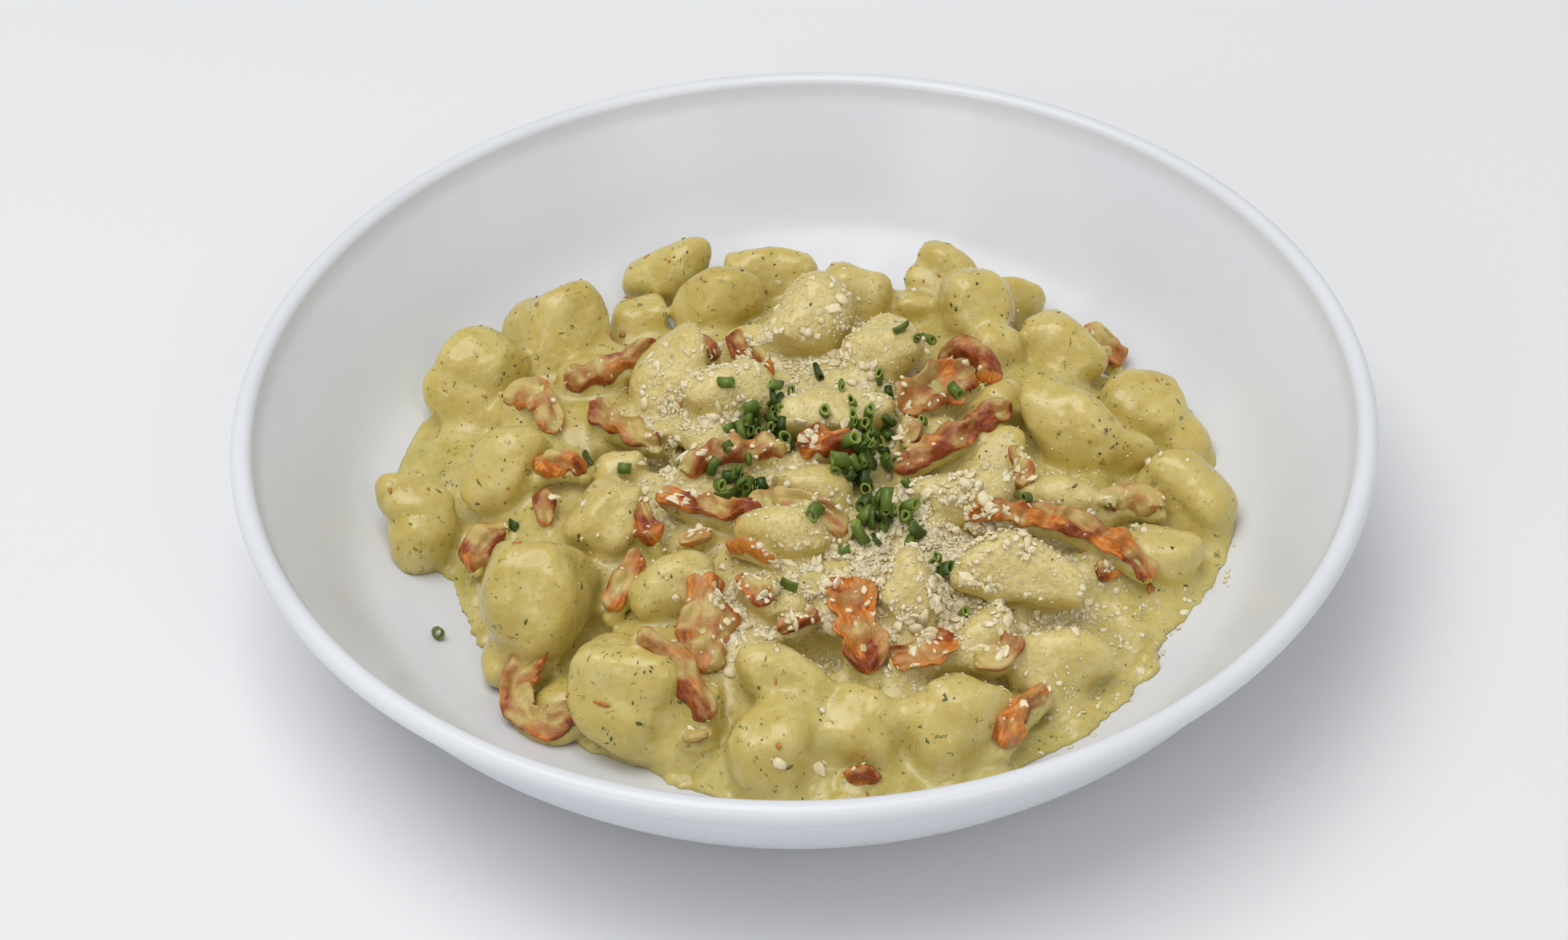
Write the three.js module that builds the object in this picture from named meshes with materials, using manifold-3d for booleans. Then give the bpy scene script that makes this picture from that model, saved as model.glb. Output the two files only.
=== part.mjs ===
// A plate of potato gnocchi in a creamy basil sauce, with strips of sun-dried tomato,
// chopped chives and grated hard cheese, served in a white porcelain coupe bowl.
//
// Millimetres, +Z up. The origin is the middle of the bowl's foot, on the table.
// The diner sits at -Y, so the heap's pieces lean their broad faces towards -Y.
//
// Nodes: the bowl, the pool of sauce, the heap of gnocchi with what is stuck to it,
// one node for each strip of tomato, and one ring of chive that fell on the bowl.

import * as THREE from "three";
import { mergeVertices } from "three/addons/utils/BufferGeometryUtils.js";
import Module from "manifold-3d";

const wasm = await Module();
wasm.setup();

// ---------------------------------------------------------------- driving dimensions

const GAP = 0.3; // clearance between neighbouring pieces
const TURN_STEPS = 40; // facets round the bowl

// Bowl: a coupe bowl 250 across and 50 high, with a rolled lip and a foot ring.
const RIM_RADIUS = 125;
const RIM_HEIGHT = 50;
const LIP_RADIUS = 2.45; // of the roll
const FOOT = { inner: 61, outer: 65.5, chamfer: 1.5, height: 3 };

// Radius and height of the inner surface, from the middle of the well to the lip.
const INNER_WALL = [
  [0, 7.5], [40, 7.6], [68, 8], [84, 10.2], [95, 14.6], [103, 20.5], [112, 34], [119.9, 46.2],
];
// The same for the outer surface, from the foot ring to under the lip.
const OUTER_WALL = [
  [67.5, 3.4], [84, 5.6], [95, 10.2], [104, 16.4], [108, 20.9], [113, 27.5], [118, 36.5], [120.9, 44.6],
];

// Pool of sauce: its level, its thickness where it runs up the bowl, and the radius
// of its edge at every 30 degrees, counterclockwise from +X.
const POOL_LEVEL = 12.5;
const POOL_FILM = 2.6;
const POOL_RIM = 0.9;
const POOL_EDGE = [96, 84, 76, 74, 76, 85, 90, 80, 82, 92, 93, 91];
const POOL_RINGS = [0.8, 0.93, 1];

// Heap: the dome on which the middles of the gnocchi lie, and the core below it.
const DOME_HEIGHT = 30;
const DOME_DROP = 11; // fall of the dome at DOME_RADIUS
const DOME_RADIUS = 88;
const CORE_RADIUS = 84;
const CORE_TURN_STEPS = 24;
const CORE_DEPTH = { middle: 1, edge: 2.5, from: 45, to: 80 }; // core surface below the dome
const CORE_NOTCH = { angle: 71, width: 9, depth: 20 }; // where the bowl shows at the back
const CORE_RINGS = [0.3, 0.55, 0.75, 0.88, 0.96, 1];
const FACE_TILT = THREE.MathUtils.degToRad(50); // the gnocchi's broad faces lean forward
const GNOCCHI_SQUARENESS = 2.5; // 2 is an ellipsoid
const GNOCCHI_GROWTH = 1.05; // makes up for the corners that the facets cut off
const GNOCCHI_LEAST_DEPTH = 13;

// Gnocchi, largest forms of the heap: x, y, height over the dome, length, width,
// and roll in degrees about the broad face.
const GNOCCHI = [
  // left
  [-78, 40, 1, 26, 18, 62], [-83, 23, -3, 18, 16, 90], [-87, -7, 1, 27, 17, 105],
  [-67, 0, 2, 26, 19, 80], [-64, 28, -3, 15, 13, 0],
  [-54, 19, -6, 18, 15, 20], [-44, -19, 2, 24, 17, 75], [-41, 0, -2, 14, 12, 10],
  // back
  [-57, 54, 1, 26, 21, 40], [-40, 64, -4, 17, 14, 0], [-48, 36, -3, 20, 17, 0],
  [-32, 79, 1, 24, 15, 30], [-7, 75, 0, 24, 16, -8], [-21, 62, 2, 25, 15, 22],
  [-30, 27, 4, 25, 17, 65], [-12, 41, -2, 15, 13, 0], [1, 45, 4, 26, 19, 40],
  [14, 61, 1, 20, 17, -15], [18, 33, 4, 21, 16, 45], [35, 71, 1, 18, 17, 60],
  [52, 66, -1, 18, 15, -20], [42, 51, 3, 24, 20, 80], [46, 39, 1, 14, 12, 40],
  // right
  [61, 42, 2, 21, 16, 125], [61, 6, 4, 33, 17, -42], [79, 20, 1, 21, 20, 90],
  [88, 14, -2, 14, 13, 0], [85, -9, 1, 26, 20, -35], [59, -15, 0, 22, 15, -12],
  [34, -18, 3, 27, 15, 3], [45, -41, 5, 30, 17, -15], [78, -26, 0, 18, 12, -15],
  [44, 18, 0, 16, 12, 20], [43, 4, -1, 15, 12, 0],
  // middle
  [-16, 18, 2, 21, 17, 20], [7, 9, 3, 26, 15, -8], [29, 6, -3, 16, 12, 0],
  [1, -14, 0, 18, 14, 0], [-6, -28, 2, 21, 14, 0],
  [24, -25, -2, 17, 12, 0], [22, -45, 2, 19, 14, 60], [-29, -39, 1, 21, 14, 15],
  [-5, -44, -2, 16, 12, 0],
  // front
  [-57, -38, 4, 25, 23, 60], [-62, -45, -3, 18, 14, -20], [-40, -61, 3, 26, 20, 35],
  [-34, -71, -3, 22, 14, -10], [-24, -69, -3, 13, 12, 0], [-6, -67, 4, 22, 14, -8],
  [-7, -81, 1, 23, 19, 35], [10, -77, 1, 21, 15, 90], [31, -75, 1, 25, 20, 20],
  [51, -59, -1, 25, 16, 15], [37, -53, -2, 15, 12, 10],
];

// Strips of sun-dried tomato. Each lies along an arc on the heap: x and y of its middle,
// heading there and turn over its length in degrees, length, width, and its heights over
// the dome at the start, the middle and the end.
const STRIP_THICKNESS = 2.4;
const STRIP_TAPER = 0.65; // width of the ends, as a share of the width
const STRIP_CUP = 0.14; // how far the long edges curl up, as a share of the width
const STRIP_LEAN = THREE.MathUtils.degToRad(28); // the flat side leans forward
const STRIP_STEP = 7; // length of a facet along the strip
const STRIPS = [
  // left and back
  [-44, 32, 13, 8, 23, 6, 2, 4, 6], [-12, 30, -62, 6, 21, 6, 3.5, 3.5, 4],
  [-21, 38, -79, -36, 10, 3.5, 3, 3.5, 3], [-41, 12, -44, 22, 23, 5.5, 1, 1, 0.5],
  [-60, 25, -50, -150, 21, 7, 2, 3, -0.5], [-54, -2, -6, -103, 12, 4.5, 5, 3, 2.5],
  [-58, -12, -90, 54, 9, 5, 2.5, 1, -1], [-72, -16, -131, 123, 13, 7.5, -1.5, -3, -7.5],
  // right
  [31, 18, 34, -5, 22, 9, 2, 3.5, 3], [41, 32, -48, -144, 20, 6, 1, 4, 3],
  [34, 2, 37, 15, 34, 6, 1.5, 3, 5], [24, 3, -108, 0, 7, 5, 5, 3.5, 2],
  [48, -8, -90, 0, 13, 5, 5, 3, 4.5], [56, -25, -11, -58, 42, 6, 4.5, 5, 1],
  [72, -14, 5, -119, 15, 7, 3.5, 3.5, 5], [66, -31, 30, 0, 9, 4, -4, -4, -4],
  [73, 51, -45, -28, 12, 7, -1, -3, -4.5],
  // middle
  [6, -2, -7, 0, 15, 6.5, 2, 4.5, 2.5], [-16, -2, 10, -37, 25, 6.5, 2, 3, 2],
  [-21, -20, -23, 17, 25, 5, 4, 3, 4], [-2, -24, -24, 10, 24, 6, 3, 5.5, 2],
  [-35, -23, -66, 33, 10, 5.5, 3.5, 2.5, 1.5], [-12, -34, -31, 0, 12, 3.5, 3, 5, 4],
  [-24, -27, 27, 0, 8, 3.5, 2, 2, 1.5], [-11, -45, -52, 22, 11, 6.5, 3.5, 5, 4.5],
  // front
  [-39, -38, -118, -20, 15, 5.5, 3, 2.5, 0.5], [-22, -52, -94, 14, 21, 10, 6, 2, -0.5],
  [10, -53, -82, 12, 24, 10, 2.5, 3, 0], [-2, -53, 24, 50, 10, 4, 2, 3, 2.5],
  [24, -59, 22, -11, 15, 7.5, 0, 0.5, 1.5], [40, -62, 24, 123, 12, 5.5, 3, 3.5, 5],
  [43, -74, -127, 33, 18, 6, 1, 1.5, 1], [-62, -62, -69, 211, 33, 7, -2, -5.5, -3],
  [-27, -67, -43, -52, 21, 6.5, 12, 6, 1], [10, -86, -8, 0, 8, 4, -2.5, -2.5, -3],
  [-24, -77, 0, 0, 6, 3, -0.5, -1, -1],
];

// Chopped chives: where they fell in clusters (x, y, spread, count) and singly.
const CHIVE = { radius: 1.8, shortest: 2.2, longest: 5.5, sides: 5, seed: 7 };
const CHIVE_CLUSTERS = [
  [-9, 9, 7, 8], [12, -7, 7, 7], [17, -24, 6, 6], [16, 4, 5, 3], [-14, -10, 5, 3], [27, -43, 3, 2],
];
const CHIVE_SINGLES = [
  [-17, 15], [20, 21], [27, 30], [35, 17], [8, -31], [-9, -58], [-40, -4], [-49, 8],
  [49, -20], [33, -48], [30, 46], [-28, 6],
];

const FALLEN_CHIVE = { radius: 1.9, bore: 1.2, length: 3, sides: 10, x: -81, y: -36.5 };

// ---------------------------------------------------------------- helpers

// Repeatable draws between 0 and 1.
function drawsFrom(seed) {
  let state = seed;
  return () => {
    state = (state * 1664525 + 1013904223) % 4294967296;
    return state / 4294967296;
  };
}

// A closed three.js geometry as a manifold solid.
function solidOf(geometry) {
  const bare = geometry.clone();
  bare.deleteAttribute("normal");
  bare.deleteAttribute("uv");
  const merged = mergeVertices(bare, 1e-4);
  const corners = merged.index.array;
  const kept = [];
  for (let i = 0; i < corners.length; i += 3) {
    const [a, b, c] = [corners[i], corners[i + 1], corners[i + 2]];
    if (a !== b && b !== c && c !== a) kept.push(a, b, c);
  }
  const vertProperties = new Float32Array(merged.attributes.position.array);
  return new wasm.Manifold(new wasm.Mesh({ numProp: 3, vertProperties, triVerts: new Uint32Array(kept) }));
}

function geometryOf(solid) {
  const mesh = solid.getMesh();
  const geometry = new THREE.BufferGeometry();
  geometry.setAttribute("position", new THREE.BufferAttribute(new Float32Array(mesh.vertProperties), 3));
  geometry.setIndex(new THREE.BufferAttribute(new Uint32Array(mesh.triVerts), 1));
  geometry.computeVertexNormals();
  return geometry;
}

// The biggest body of a solid that a cut may have left in several.
function biggestBody(solid) {
  return solid.decompose().reduce((best, body) => (body.volume() > best.volume() ? body : best));
}

function smoothStep(value, from, to) {
  return THREE.MathUtils.smoothstep(value, from, to);
}

// Height on a polyline of [radius, height] points.
function heightOn(outline, radius) {
  const next = outline.findIndex(([r]) => r >= radius);
  if (next < 0) return outline[outline.length - 1][1];
  if (next === 0) return outline[0][1];
  const [r0, z0] = outline[next - 1];
  const [r1, z1] = outline[next];
  return z0 + ((z1 - z0) * (radius - r0)) / (r1 - r0);
}

// A round solid: a lathed disc whose points go to edgeRadius(angle) and to the heights
// bottom(radius) and top(radius, share of the way to the edge). The rings are the shares
// at which the underside and the top bend.
function roundSolid(lowRings, highRings, turnSteps, edgeRadius, bottom, top) {
  const below = [0, ...lowRings].map((share) => new THREE.Vector2(share, 0));
  const above = [...highRings].reverse().map((share) => new THREE.Vector2(share, 1));
  const disc = new THREE.LatheGeometry([...below, ...above, new THREE.Vector2(0, 1)], turnSteps);
  disc.rotateX(Math.PI / 2);
  const points = disc.attributes.position;
  for (let i = 0; i < points.count; i++) {
    const share = Math.hypot(points.getX(i), points.getY(i));
    const angle = Math.atan2(points.getY(i), points.getX(i));
    const radius = share * edgeRadius(angle);
    const height = points.getZ(i) > 0.5 ? top(radius, share) : bottom(radius);
    points.setXYZ(i, radius * Math.cos(angle), radius * Math.sin(angle), height);
  }
  return solidOf(disc);
}

// ---------------------------------------------------------------- bowl

function curvePoints(corners, count) {
  return new THREE.SplineCurve(corners.map(([r, z]) => new THREE.Vector2(r, z))).getPoints(count);
}

const innerOutline = curvePoints(INNER_WALL, 8).map((point) => [point.x, point.y]);

function innerHeight(radius) {
  return heightOn(innerOutline, radius);
}

function bowlGeometry() {
  const lipMiddle = new THREE.Vector2(RIM_RADIUS - LIP_RADIUS, RIM_HEIGHT - LIP_RADIUS);
  const lip = [-50, 0, 45, 90, 150].map((degrees) => {
    const angle = THREE.MathUtils.degToRad(degrees);
    return new THREE.Vector2(Math.cos(angle), Math.sin(angle)).multiplyScalar(LIP_RADIUS).add(lipMiddle);
  });
  const profile = [
    new THREE.Vector2(0, FOOT.height),
    new THREE.Vector2(FOOT.inner - FOOT.chamfer, FOOT.height),
    new THREE.Vector2(FOOT.inner, 0),
    new THREE.Vector2(FOOT.outer, 0),
    ...curvePoints(OUTER_WALL, 5),
    ...lip,
    ...innerOutline.map(([r, z]) => new THREE.Vector2(r, z)).reverse(),
  ];
  return new THREE.LatheGeometry(profile, TURN_STEPS).rotateX(Math.PI / 2);
}

// The bowl's inside with the clearance added, down to below the table, for cutting.
function bowlKeepOut() {
  const raised = innerOutline.map(([r, z]) => new THREE.Vector2(r, z + 1.6 * GAP));
  const wall = new THREE.Vector2(RIM_RADIUS, RIM_HEIGHT);
  const profile = [new THREE.Vector2(0, -5), new THREE.Vector2(RIM_RADIUS, -5), wall, ...raised.reverse()];
  return solidOf(new THREE.LatheGeometry(profile, TURN_STEPS).rotateX(Math.PI / 2));
}

// ---------------------------------------------------------------- sauce

// Edge of the pool at an angle, eased between the listed radii.
function poolEdge(angle) {
  const place = ((angle / (2 * Math.PI) + 1) % 1) * POOL_EDGE.length;
  const before = Math.floor(place) % POOL_EDGE.length;
  const after = (before + 1) % POOL_EDGE.length;
  const between = smoothStep(place - Math.floor(place), 0, 1);
  return THREE.MathUtils.lerp(POOL_EDGE[before], POOL_EDGE[after], between);
}

// With grow 0 this is the pool. A larger grow thickens it on all sides.
function pool(grow) {
  const floor = (radius) => innerHeight(radius) + 1.6 * GAP;
  return roundSolid(
    POOL_RINGS,
    POOL_RINGS,
    TURN_STEPS,
    (angle) => poolEdge(angle) + grow,
    (radius) => floor(radius) - grow,
    (radius, share) => {
      const film = share > 0.99 ? POOL_RIM : POOL_FILM;
      return Math.max(share < 0.95 ? POOL_LEVEL : 0, floor(radius) + film) + grow;
    },
  );
}

// ---------------------------------------------------------------- heap

function domeHeight(x, y) {
  return DOME_HEIGHT - DOME_DROP * (Math.hypot(x, y) / DOME_RADIUS) ** 2;
}

function coreEdge(angle) {
  const offNotch = (THREE.MathUtils.radToDeg(angle) - CORE_NOTCH.angle) / CORE_NOTCH.width;
  return CORE_RADIUS - CORE_NOTCH.depth * Math.exp(-(offNotch ** 2));
}

function core() {
  const { middle, edge, from, to } = CORE_DEPTH;
  const foot = POOL_LEVEL - 2;
  return roundSolid([1], CORE_RINGS, CORE_TURN_STEPS, coreEdge, () => foot, (radius, share) => {
    const top = domeHeight(radius, 0) - THREE.MathUtils.lerp(middle, edge, smoothStep(radius, from, to));
    const rounding = Math.max(0, 1 - share ** 6) ** 0.6;
    return foot + 4 + (top - foot - 4) * rounding;
  });
}

// One gnocco: a plump pillow, rolled on its broad face, which leans forward.
function gnocco([x, y, lift, length, width, roll]) {
  const pillow = new THREE.SphereGeometry(1, 8, 5);
  const points = pillow.attributes.position;
  const corner = new THREE.Vector3();
  for (let i = 0; i < points.count; i++) {
    corner.fromBufferAttribute(points, i);
    const powers = corner.toArray().map((along) => Math.abs(along) ** GNOCCHI_SQUARENESS);
    corner.multiplyScalar((powers[0] + powers[1] + powers[2]) ** (-1 / GNOCCHI_SQUARENESS));
    points.setXYZ(i, corner.x, corner.y, corner.z);
  }
  const depth = Math.max(GNOCCHI_LEAST_DEPTH, 0.85 * width);
  pillow.scale(length / 2, width / 2, depth / 2);
  pillow.scale(GNOCCHI_GROWTH, GNOCCHI_GROWTH, GNOCCHI_GROWTH);
  pillow.rotateZ(THREE.MathUtils.degToRad(roll));
  pillow.rotateX(FACE_TILT);
  pillow.translate(x, y, domeHeight(x, y) + lift);
  return solidOf(pillow);
}

// ---------------------------------------------------------------- tomato strips

// The middle line of a strip: an arc in plan, whose height follows the dome.
class StripLine extends THREE.Curve {
  constructor([x, y, heading, turn, length, , ...lifts]) {
    super();
    this.middle = new THREE.Vector2(x, y);
    this.heading = THREE.MathUtils.degToRad(heading);
    this.turn = THREE.MathUtils.degToRad(turn || 1);
    this.length = length;
    this.lifts = lifts;
  }

  getPoint(t, target = new THREE.Vector3()) {
    const bend = this.length / this.turn; // radius of the arc, signed
    const angle = this.heading + this.turn * (t - 0.5);
    const x = this.middle.x + bend * (Math.sin(angle) - Math.sin(this.heading));
    const y = this.middle.y - bend * (Math.cos(angle) - Math.cos(this.heading));
    const [start, middle, end] = this.lifts;
    const lift = middle + (end - start) * (t - 0.5) + 2 * (start + end - 2 * middle) * (t - 0.5) ** 2;
    return target.set(x, y, domeHeight(x, y) + lift);
  }
}

// A strip swept along its line: a cylinder's points laid round a cupped flat section.
// A larger grow thickens it on all sides.
function strip(layout, grow) {
  const line = new StripLine(layout);
  const fullWidth = layout[5];
  const steps = Math.max(2, Math.round(line.length / STRIP_STEP));
  const tube = new THREE.CylinderGeometry(1, 1, 1, 6, steps);
  const points = tube.attributes.position;
  const up = new THREE.Vector3(0, -Math.sin(STRIP_LEAN), Math.cos(STRIP_LEAN));
  for (let i = 0; i < points.count; i++) {
    const along = points.getY(i) + 0.5;
    const fromMiddle = 2 * along - 1;
    const isAxis = Math.hypot(points.getX(i), points.getZ(i)) < 0.5;
    const round = Math.atan2(points.getZ(i), points.getX(i));
    const across = isAxis ? 0 : Math.cos(round);
    const over = isAxis ? 0 : Math.sin(round);
    const forward = line.getTangentAt(along);
    const side = new THREE.Vector3().crossVectors(forward, up).normalize();
    const face = new THREE.Vector3().crossVectors(side, forward);
    const width = fullWidth * THREE.MathUtils.lerp(1, STRIP_TAPER, fromMiddle ** 2);
    const cup = STRIP_CUP * width * (across ** 2 - 0.5);
    const point = line.getPointAt(along);
    point.addScaledVector(side, across * (width / 2 + grow));
    point.addScaledVector(face, over * (STRIP_THICKNESS / 2 + grow) + cup);
    if (Math.abs(fromMiddle) === 1) point.addScaledVector(forward, fromMiddle * grow);
    points.setXYZ(i, point.x, point.y, point.z);
  }
  return solidOf(tube);
}

// ---------------------------------------------------------------- chives, fused to the heap

// Height of the highest surface of a solid over a point.
function surfaceHeight(solid, x, y) {
  const probe = solidOf(new THREE.BoxGeometry(0.6, 0.6, 80).translate(x, y, 50));
  const struck = solid.intersect(probe);
  return struck.isEmpty() ? null : struck.boundingBox().max[2];
}

function spot(random, [x, y, spread]) {
  const angle = 2 * Math.PI * random();
  const distance = spread * Math.sqrt(random());
  return [x + distance * Math.cos(angle), y + distance * Math.sin(angle)];
}

// Places of the chopped chives, clusters first.
function chivePlaces(random) {
  const places = (cluster) => Array.from({ length: cluster[3] }, () => spot(random, cluster));
  return [...CHIVE_CLUSTERS.flatMap(places), ...CHIVE_SINGLES];
}

function chiveRing(random, x, y, z) {
  const length = THREE.MathUtils.lerp(CHIVE.shortest, CHIVE.longest, random() ** 1.5);
  const ring = new THREE.CylinderGeometry(CHIVE.radius, CHIVE.radius, length, CHIVE.sides);
  ring.rotateX(random() * Math.PI);
  ring.rotateZ(random() * 2 * Math.PI);
  ring.translate(x, y, z + 0.35 * CHIVE.radius);
  return solidOf(ring);
}

// Fuses the chives that lie clear of the strips on to the heap.
function withChives(heap, keepClear) {
  const random = drawsFrom(CHIVE.seed);
  const rings = [];
  for (const [x, y] of chivePlaces(random)) {
    const z = surfaceHeight(heap, x, y);
    const ring = chiveRing(random, x, y, z ?? 0);
    if (z !== null && ring.intersect(keepClear).isEmpty()) rings.push(ring);
  }
  return wasm.Manifold.union([heap, ...rings]);
}

// ---------------------------------------------------------------- the fallen ring of chive

function fallenChiveGeometry() {
  const { radius, bore, length, sides, x, y } = FALLEN_CHIVE;
  const profile = [[bore, 0], [radius, 0], [radius, length], [bore, length], [bore, 0]];
  const ring = new THREE.LatheGeometry(profile.map(([r, z]) => new THREE.Vector2(r, z)), sides);
  const distance = Math.hypot(x, y);
  const slope = Math.atan2(innerHeight(distance + 2) - innerHeight(distance - 2), 4);
  ring.translate(0, -length / 2, 0);
  ring.rotateX(Math.PI / 2 + 1.15);
  ring.translate(x, y, innerHeight(distance) + (radius + length / 2 + GAP) / Math.cos(slope) - 0.9);
  return ring;
}

// ---------------------------------------------------------------- assembly

const porcelain = { color: 0xe4e5e8, roughness: 0.12, metalness: 0 };
const sauceLook = { color: 0xc0ae68, roughness: 0.35, metalness: 0 };
const gnocchiLook = { color: 0xc6b36c, roughness: 0.4, metalness: 0 };
const tomatoLook = { color: 0xa85226, roughness: 0.45, metalness: 0 };
const chiveLook = { color: 0x4a6420, roughness: 0.4, metalness: 0 };

const dish = new THREE.Group();

function addNode(name, geometry, look) {
  const mesh = new THREE.Mesh(geometry, new THREE.MeshStandardMaterial(look));
  mesh.name = name;
  dish.add(mesh);
}

addNode("bowl", bowlGeometry(), porcelain);
addNode("sauce", geometryOf(pool(0)), sauceLook);

// Strips that would cross are trimmed by the ones laid before them.
const bowlSpace = bowlKeepOut();
const strips = [];
let stripsKeepOut = null;
for (const layout of STRIPS) {
  let body = strip(layout, 0).subtract(bowlSpace);
  if (stripsKeepOut) body = biggestBody(body.subtract(stripsKeepOut));
  strips.push(body);
  const grown = strip(layout, GAP);
  stripsKeepOut = stripsKeepOut ? stripsKeepOut.add(grown) : grown;
}

const pillows = wasm.Manifold.union([core(), ...GNOCCHI.map(gnocco)]);
const bareHeap = biggestBody(pillows.subtract(bowlSpace).subtract(pool(GAP)).subtract(stripsKeepOut));
addNode("gnocchi_heap", geometryOf(biggestBody(withChives(bareHeap, stripsKeepOut))), gnocchiLook);

strips.forEach((body, index) => {
  addNode(`tomato_strip_${String(index + 1).padStart(2, "0")}`, geometryOf(body), tomatoLook);
});

addNode("fallen_chive", fallenChiveGeometry(), chiveLook);

export default dish;
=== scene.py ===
"""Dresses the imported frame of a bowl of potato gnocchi: sauced gnocchi, strips of
sun-dried tomato, chopped chives, grated cheese and a glazed porcelain bowl.

Shapes are worked out in millimetres and written to Blender in metres, in the CAD's frame.
"""

import math
from copy import copy
from itertools import combinations

import bpy
import numpy as np
from mathutils import Matrix, Vector
from mathutils.bvhtree import BVHTree


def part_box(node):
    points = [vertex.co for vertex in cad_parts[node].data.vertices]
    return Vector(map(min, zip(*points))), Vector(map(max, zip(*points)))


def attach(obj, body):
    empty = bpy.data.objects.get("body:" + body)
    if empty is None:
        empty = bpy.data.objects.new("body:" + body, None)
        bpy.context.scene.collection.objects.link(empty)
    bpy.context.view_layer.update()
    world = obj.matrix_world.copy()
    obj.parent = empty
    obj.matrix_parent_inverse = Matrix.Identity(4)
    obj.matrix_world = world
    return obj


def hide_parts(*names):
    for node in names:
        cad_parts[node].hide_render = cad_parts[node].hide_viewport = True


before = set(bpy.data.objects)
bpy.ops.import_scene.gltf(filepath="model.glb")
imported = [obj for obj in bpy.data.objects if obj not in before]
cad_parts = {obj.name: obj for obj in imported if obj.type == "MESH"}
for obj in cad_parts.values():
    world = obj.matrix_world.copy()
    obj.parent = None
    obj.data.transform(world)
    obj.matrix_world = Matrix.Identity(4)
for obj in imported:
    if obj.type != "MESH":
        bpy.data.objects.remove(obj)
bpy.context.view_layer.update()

MM = 0.001

SKIN_STEP = 0.8  # mm, over sauce and gnocchi
STRIP_STEP = 0.75  # mm, along a strip
MAP_STEP = 0.6  # mm, in the map that chives are laid by
BOWL_TURNS = 224
CRUMB_SHARE = 1.0

# ------------------------------------------------------------------ layout, as in the CAD

DOME_HEIGHT = 30.0
DOME_DROP = 11.0
DOME_RADIUS = 88.0
FACE_TILT = math.radians(50)
STRIP_LEAN = math.radians(28)
LEAST_DEPTH = 13.0

# x, y, height over the dome, length, width, roll about the broad face
GNOCCHI = [
    # left
    (-77, 37, 4, 26, 21, 50), (-80, 22, -9, 18, 13, 75), (-87, -7, 1, 27, 17, 105),
    (-67, 0, 2, 26, 19, 80), (-64, 28, -3, 15, 13, 0),
    (-54, 19, -6, 18, 15, 20), (-44, -19, 2, 24, 17, 75), (-41, 0, -2, 14, 12, 10),
    # back
    (-57, 54, 1, 27, 23, 208), (-40, 64, -4, 17, 14, 0), (-48, 36, -3, 20, 17, 0),
    (-32, 79, 1, 24, 15, 30), (-7, 75, 0, 24, 16, -8), (-21, 62, 2, 25, 15, 22),
    (-30, 27, 4, 25, 17, 65), (-12, 41, -2, 15, 13, 0), (1, 45, 4, 26, 19, 40),
    (14, 61, 1, 20, 17, -15), (18, 33, 4, 21, 16, 45), (35, 71, 1, 18, 17, 60),
    (52, 66, -1, 18, 15, -20), (42, 51, 3, 24, 20, 80), (46, 39, 1, 14, 12, 40),
    # right
    (61, 42, 2, 21, 16, 125), (61, 6, 4, 33, 17, -42), (79, 20, 1, 21, 20, 90),
    (88, 14, -2, 14, 13, 0), (85, -9, 1, 26, 20, -35), (59, -15, 0, 22, 15, -12),
    (34, -18, 3, 27, 15, 3), (45, -41, 5, 30, 17, -15), (78, -26, 0, 18, 12, -15),
    (44, 18, 0, 16, 12, 20), (43, 4, -1, 15, 12, 0),
    # middle
    (-16, 18, 2, 21, 17, 20), (7, 9, 3, 26, 15, -8), (29, 6, -3, 16, 12, 0),
    (1, -14, 0, 18, 14, 0), (-6, -28, 2, 21, 14, 0),
    (24, -25, -2, 17, 12, 0), (22, -45, 2, 19, 14, 60), (-29, -39, 1, 21, 14, 15),
    (-5, -44, -2, 16, 12, 0),
    # front
    (-57, -40, 4, 28, 26, 60), (-63, -47, -8, 15, 12, -20), (-39, -65, 3, 27, 22, 245),
    (-32, -71, -6, 20, 13, -10), (-24, -69, -3, 13, 12, 0), (-6, -67, 4, 22, 14, -8),
    (-7, -81, 1, 23, 19, 35), (10, -77, 1, 21, 15, 90), (31, -75, 1, 25, 20, 20),
    (51, -59, -1, 25, 16, 15), (37, -53, -2, 15, 12, 10),
    # under the sauce at the back, and in the curl of the strip at the front
    (28, 58, -3, 15, 13, 0), (-53, -59, -9, 14, 12, 0),
]

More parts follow.
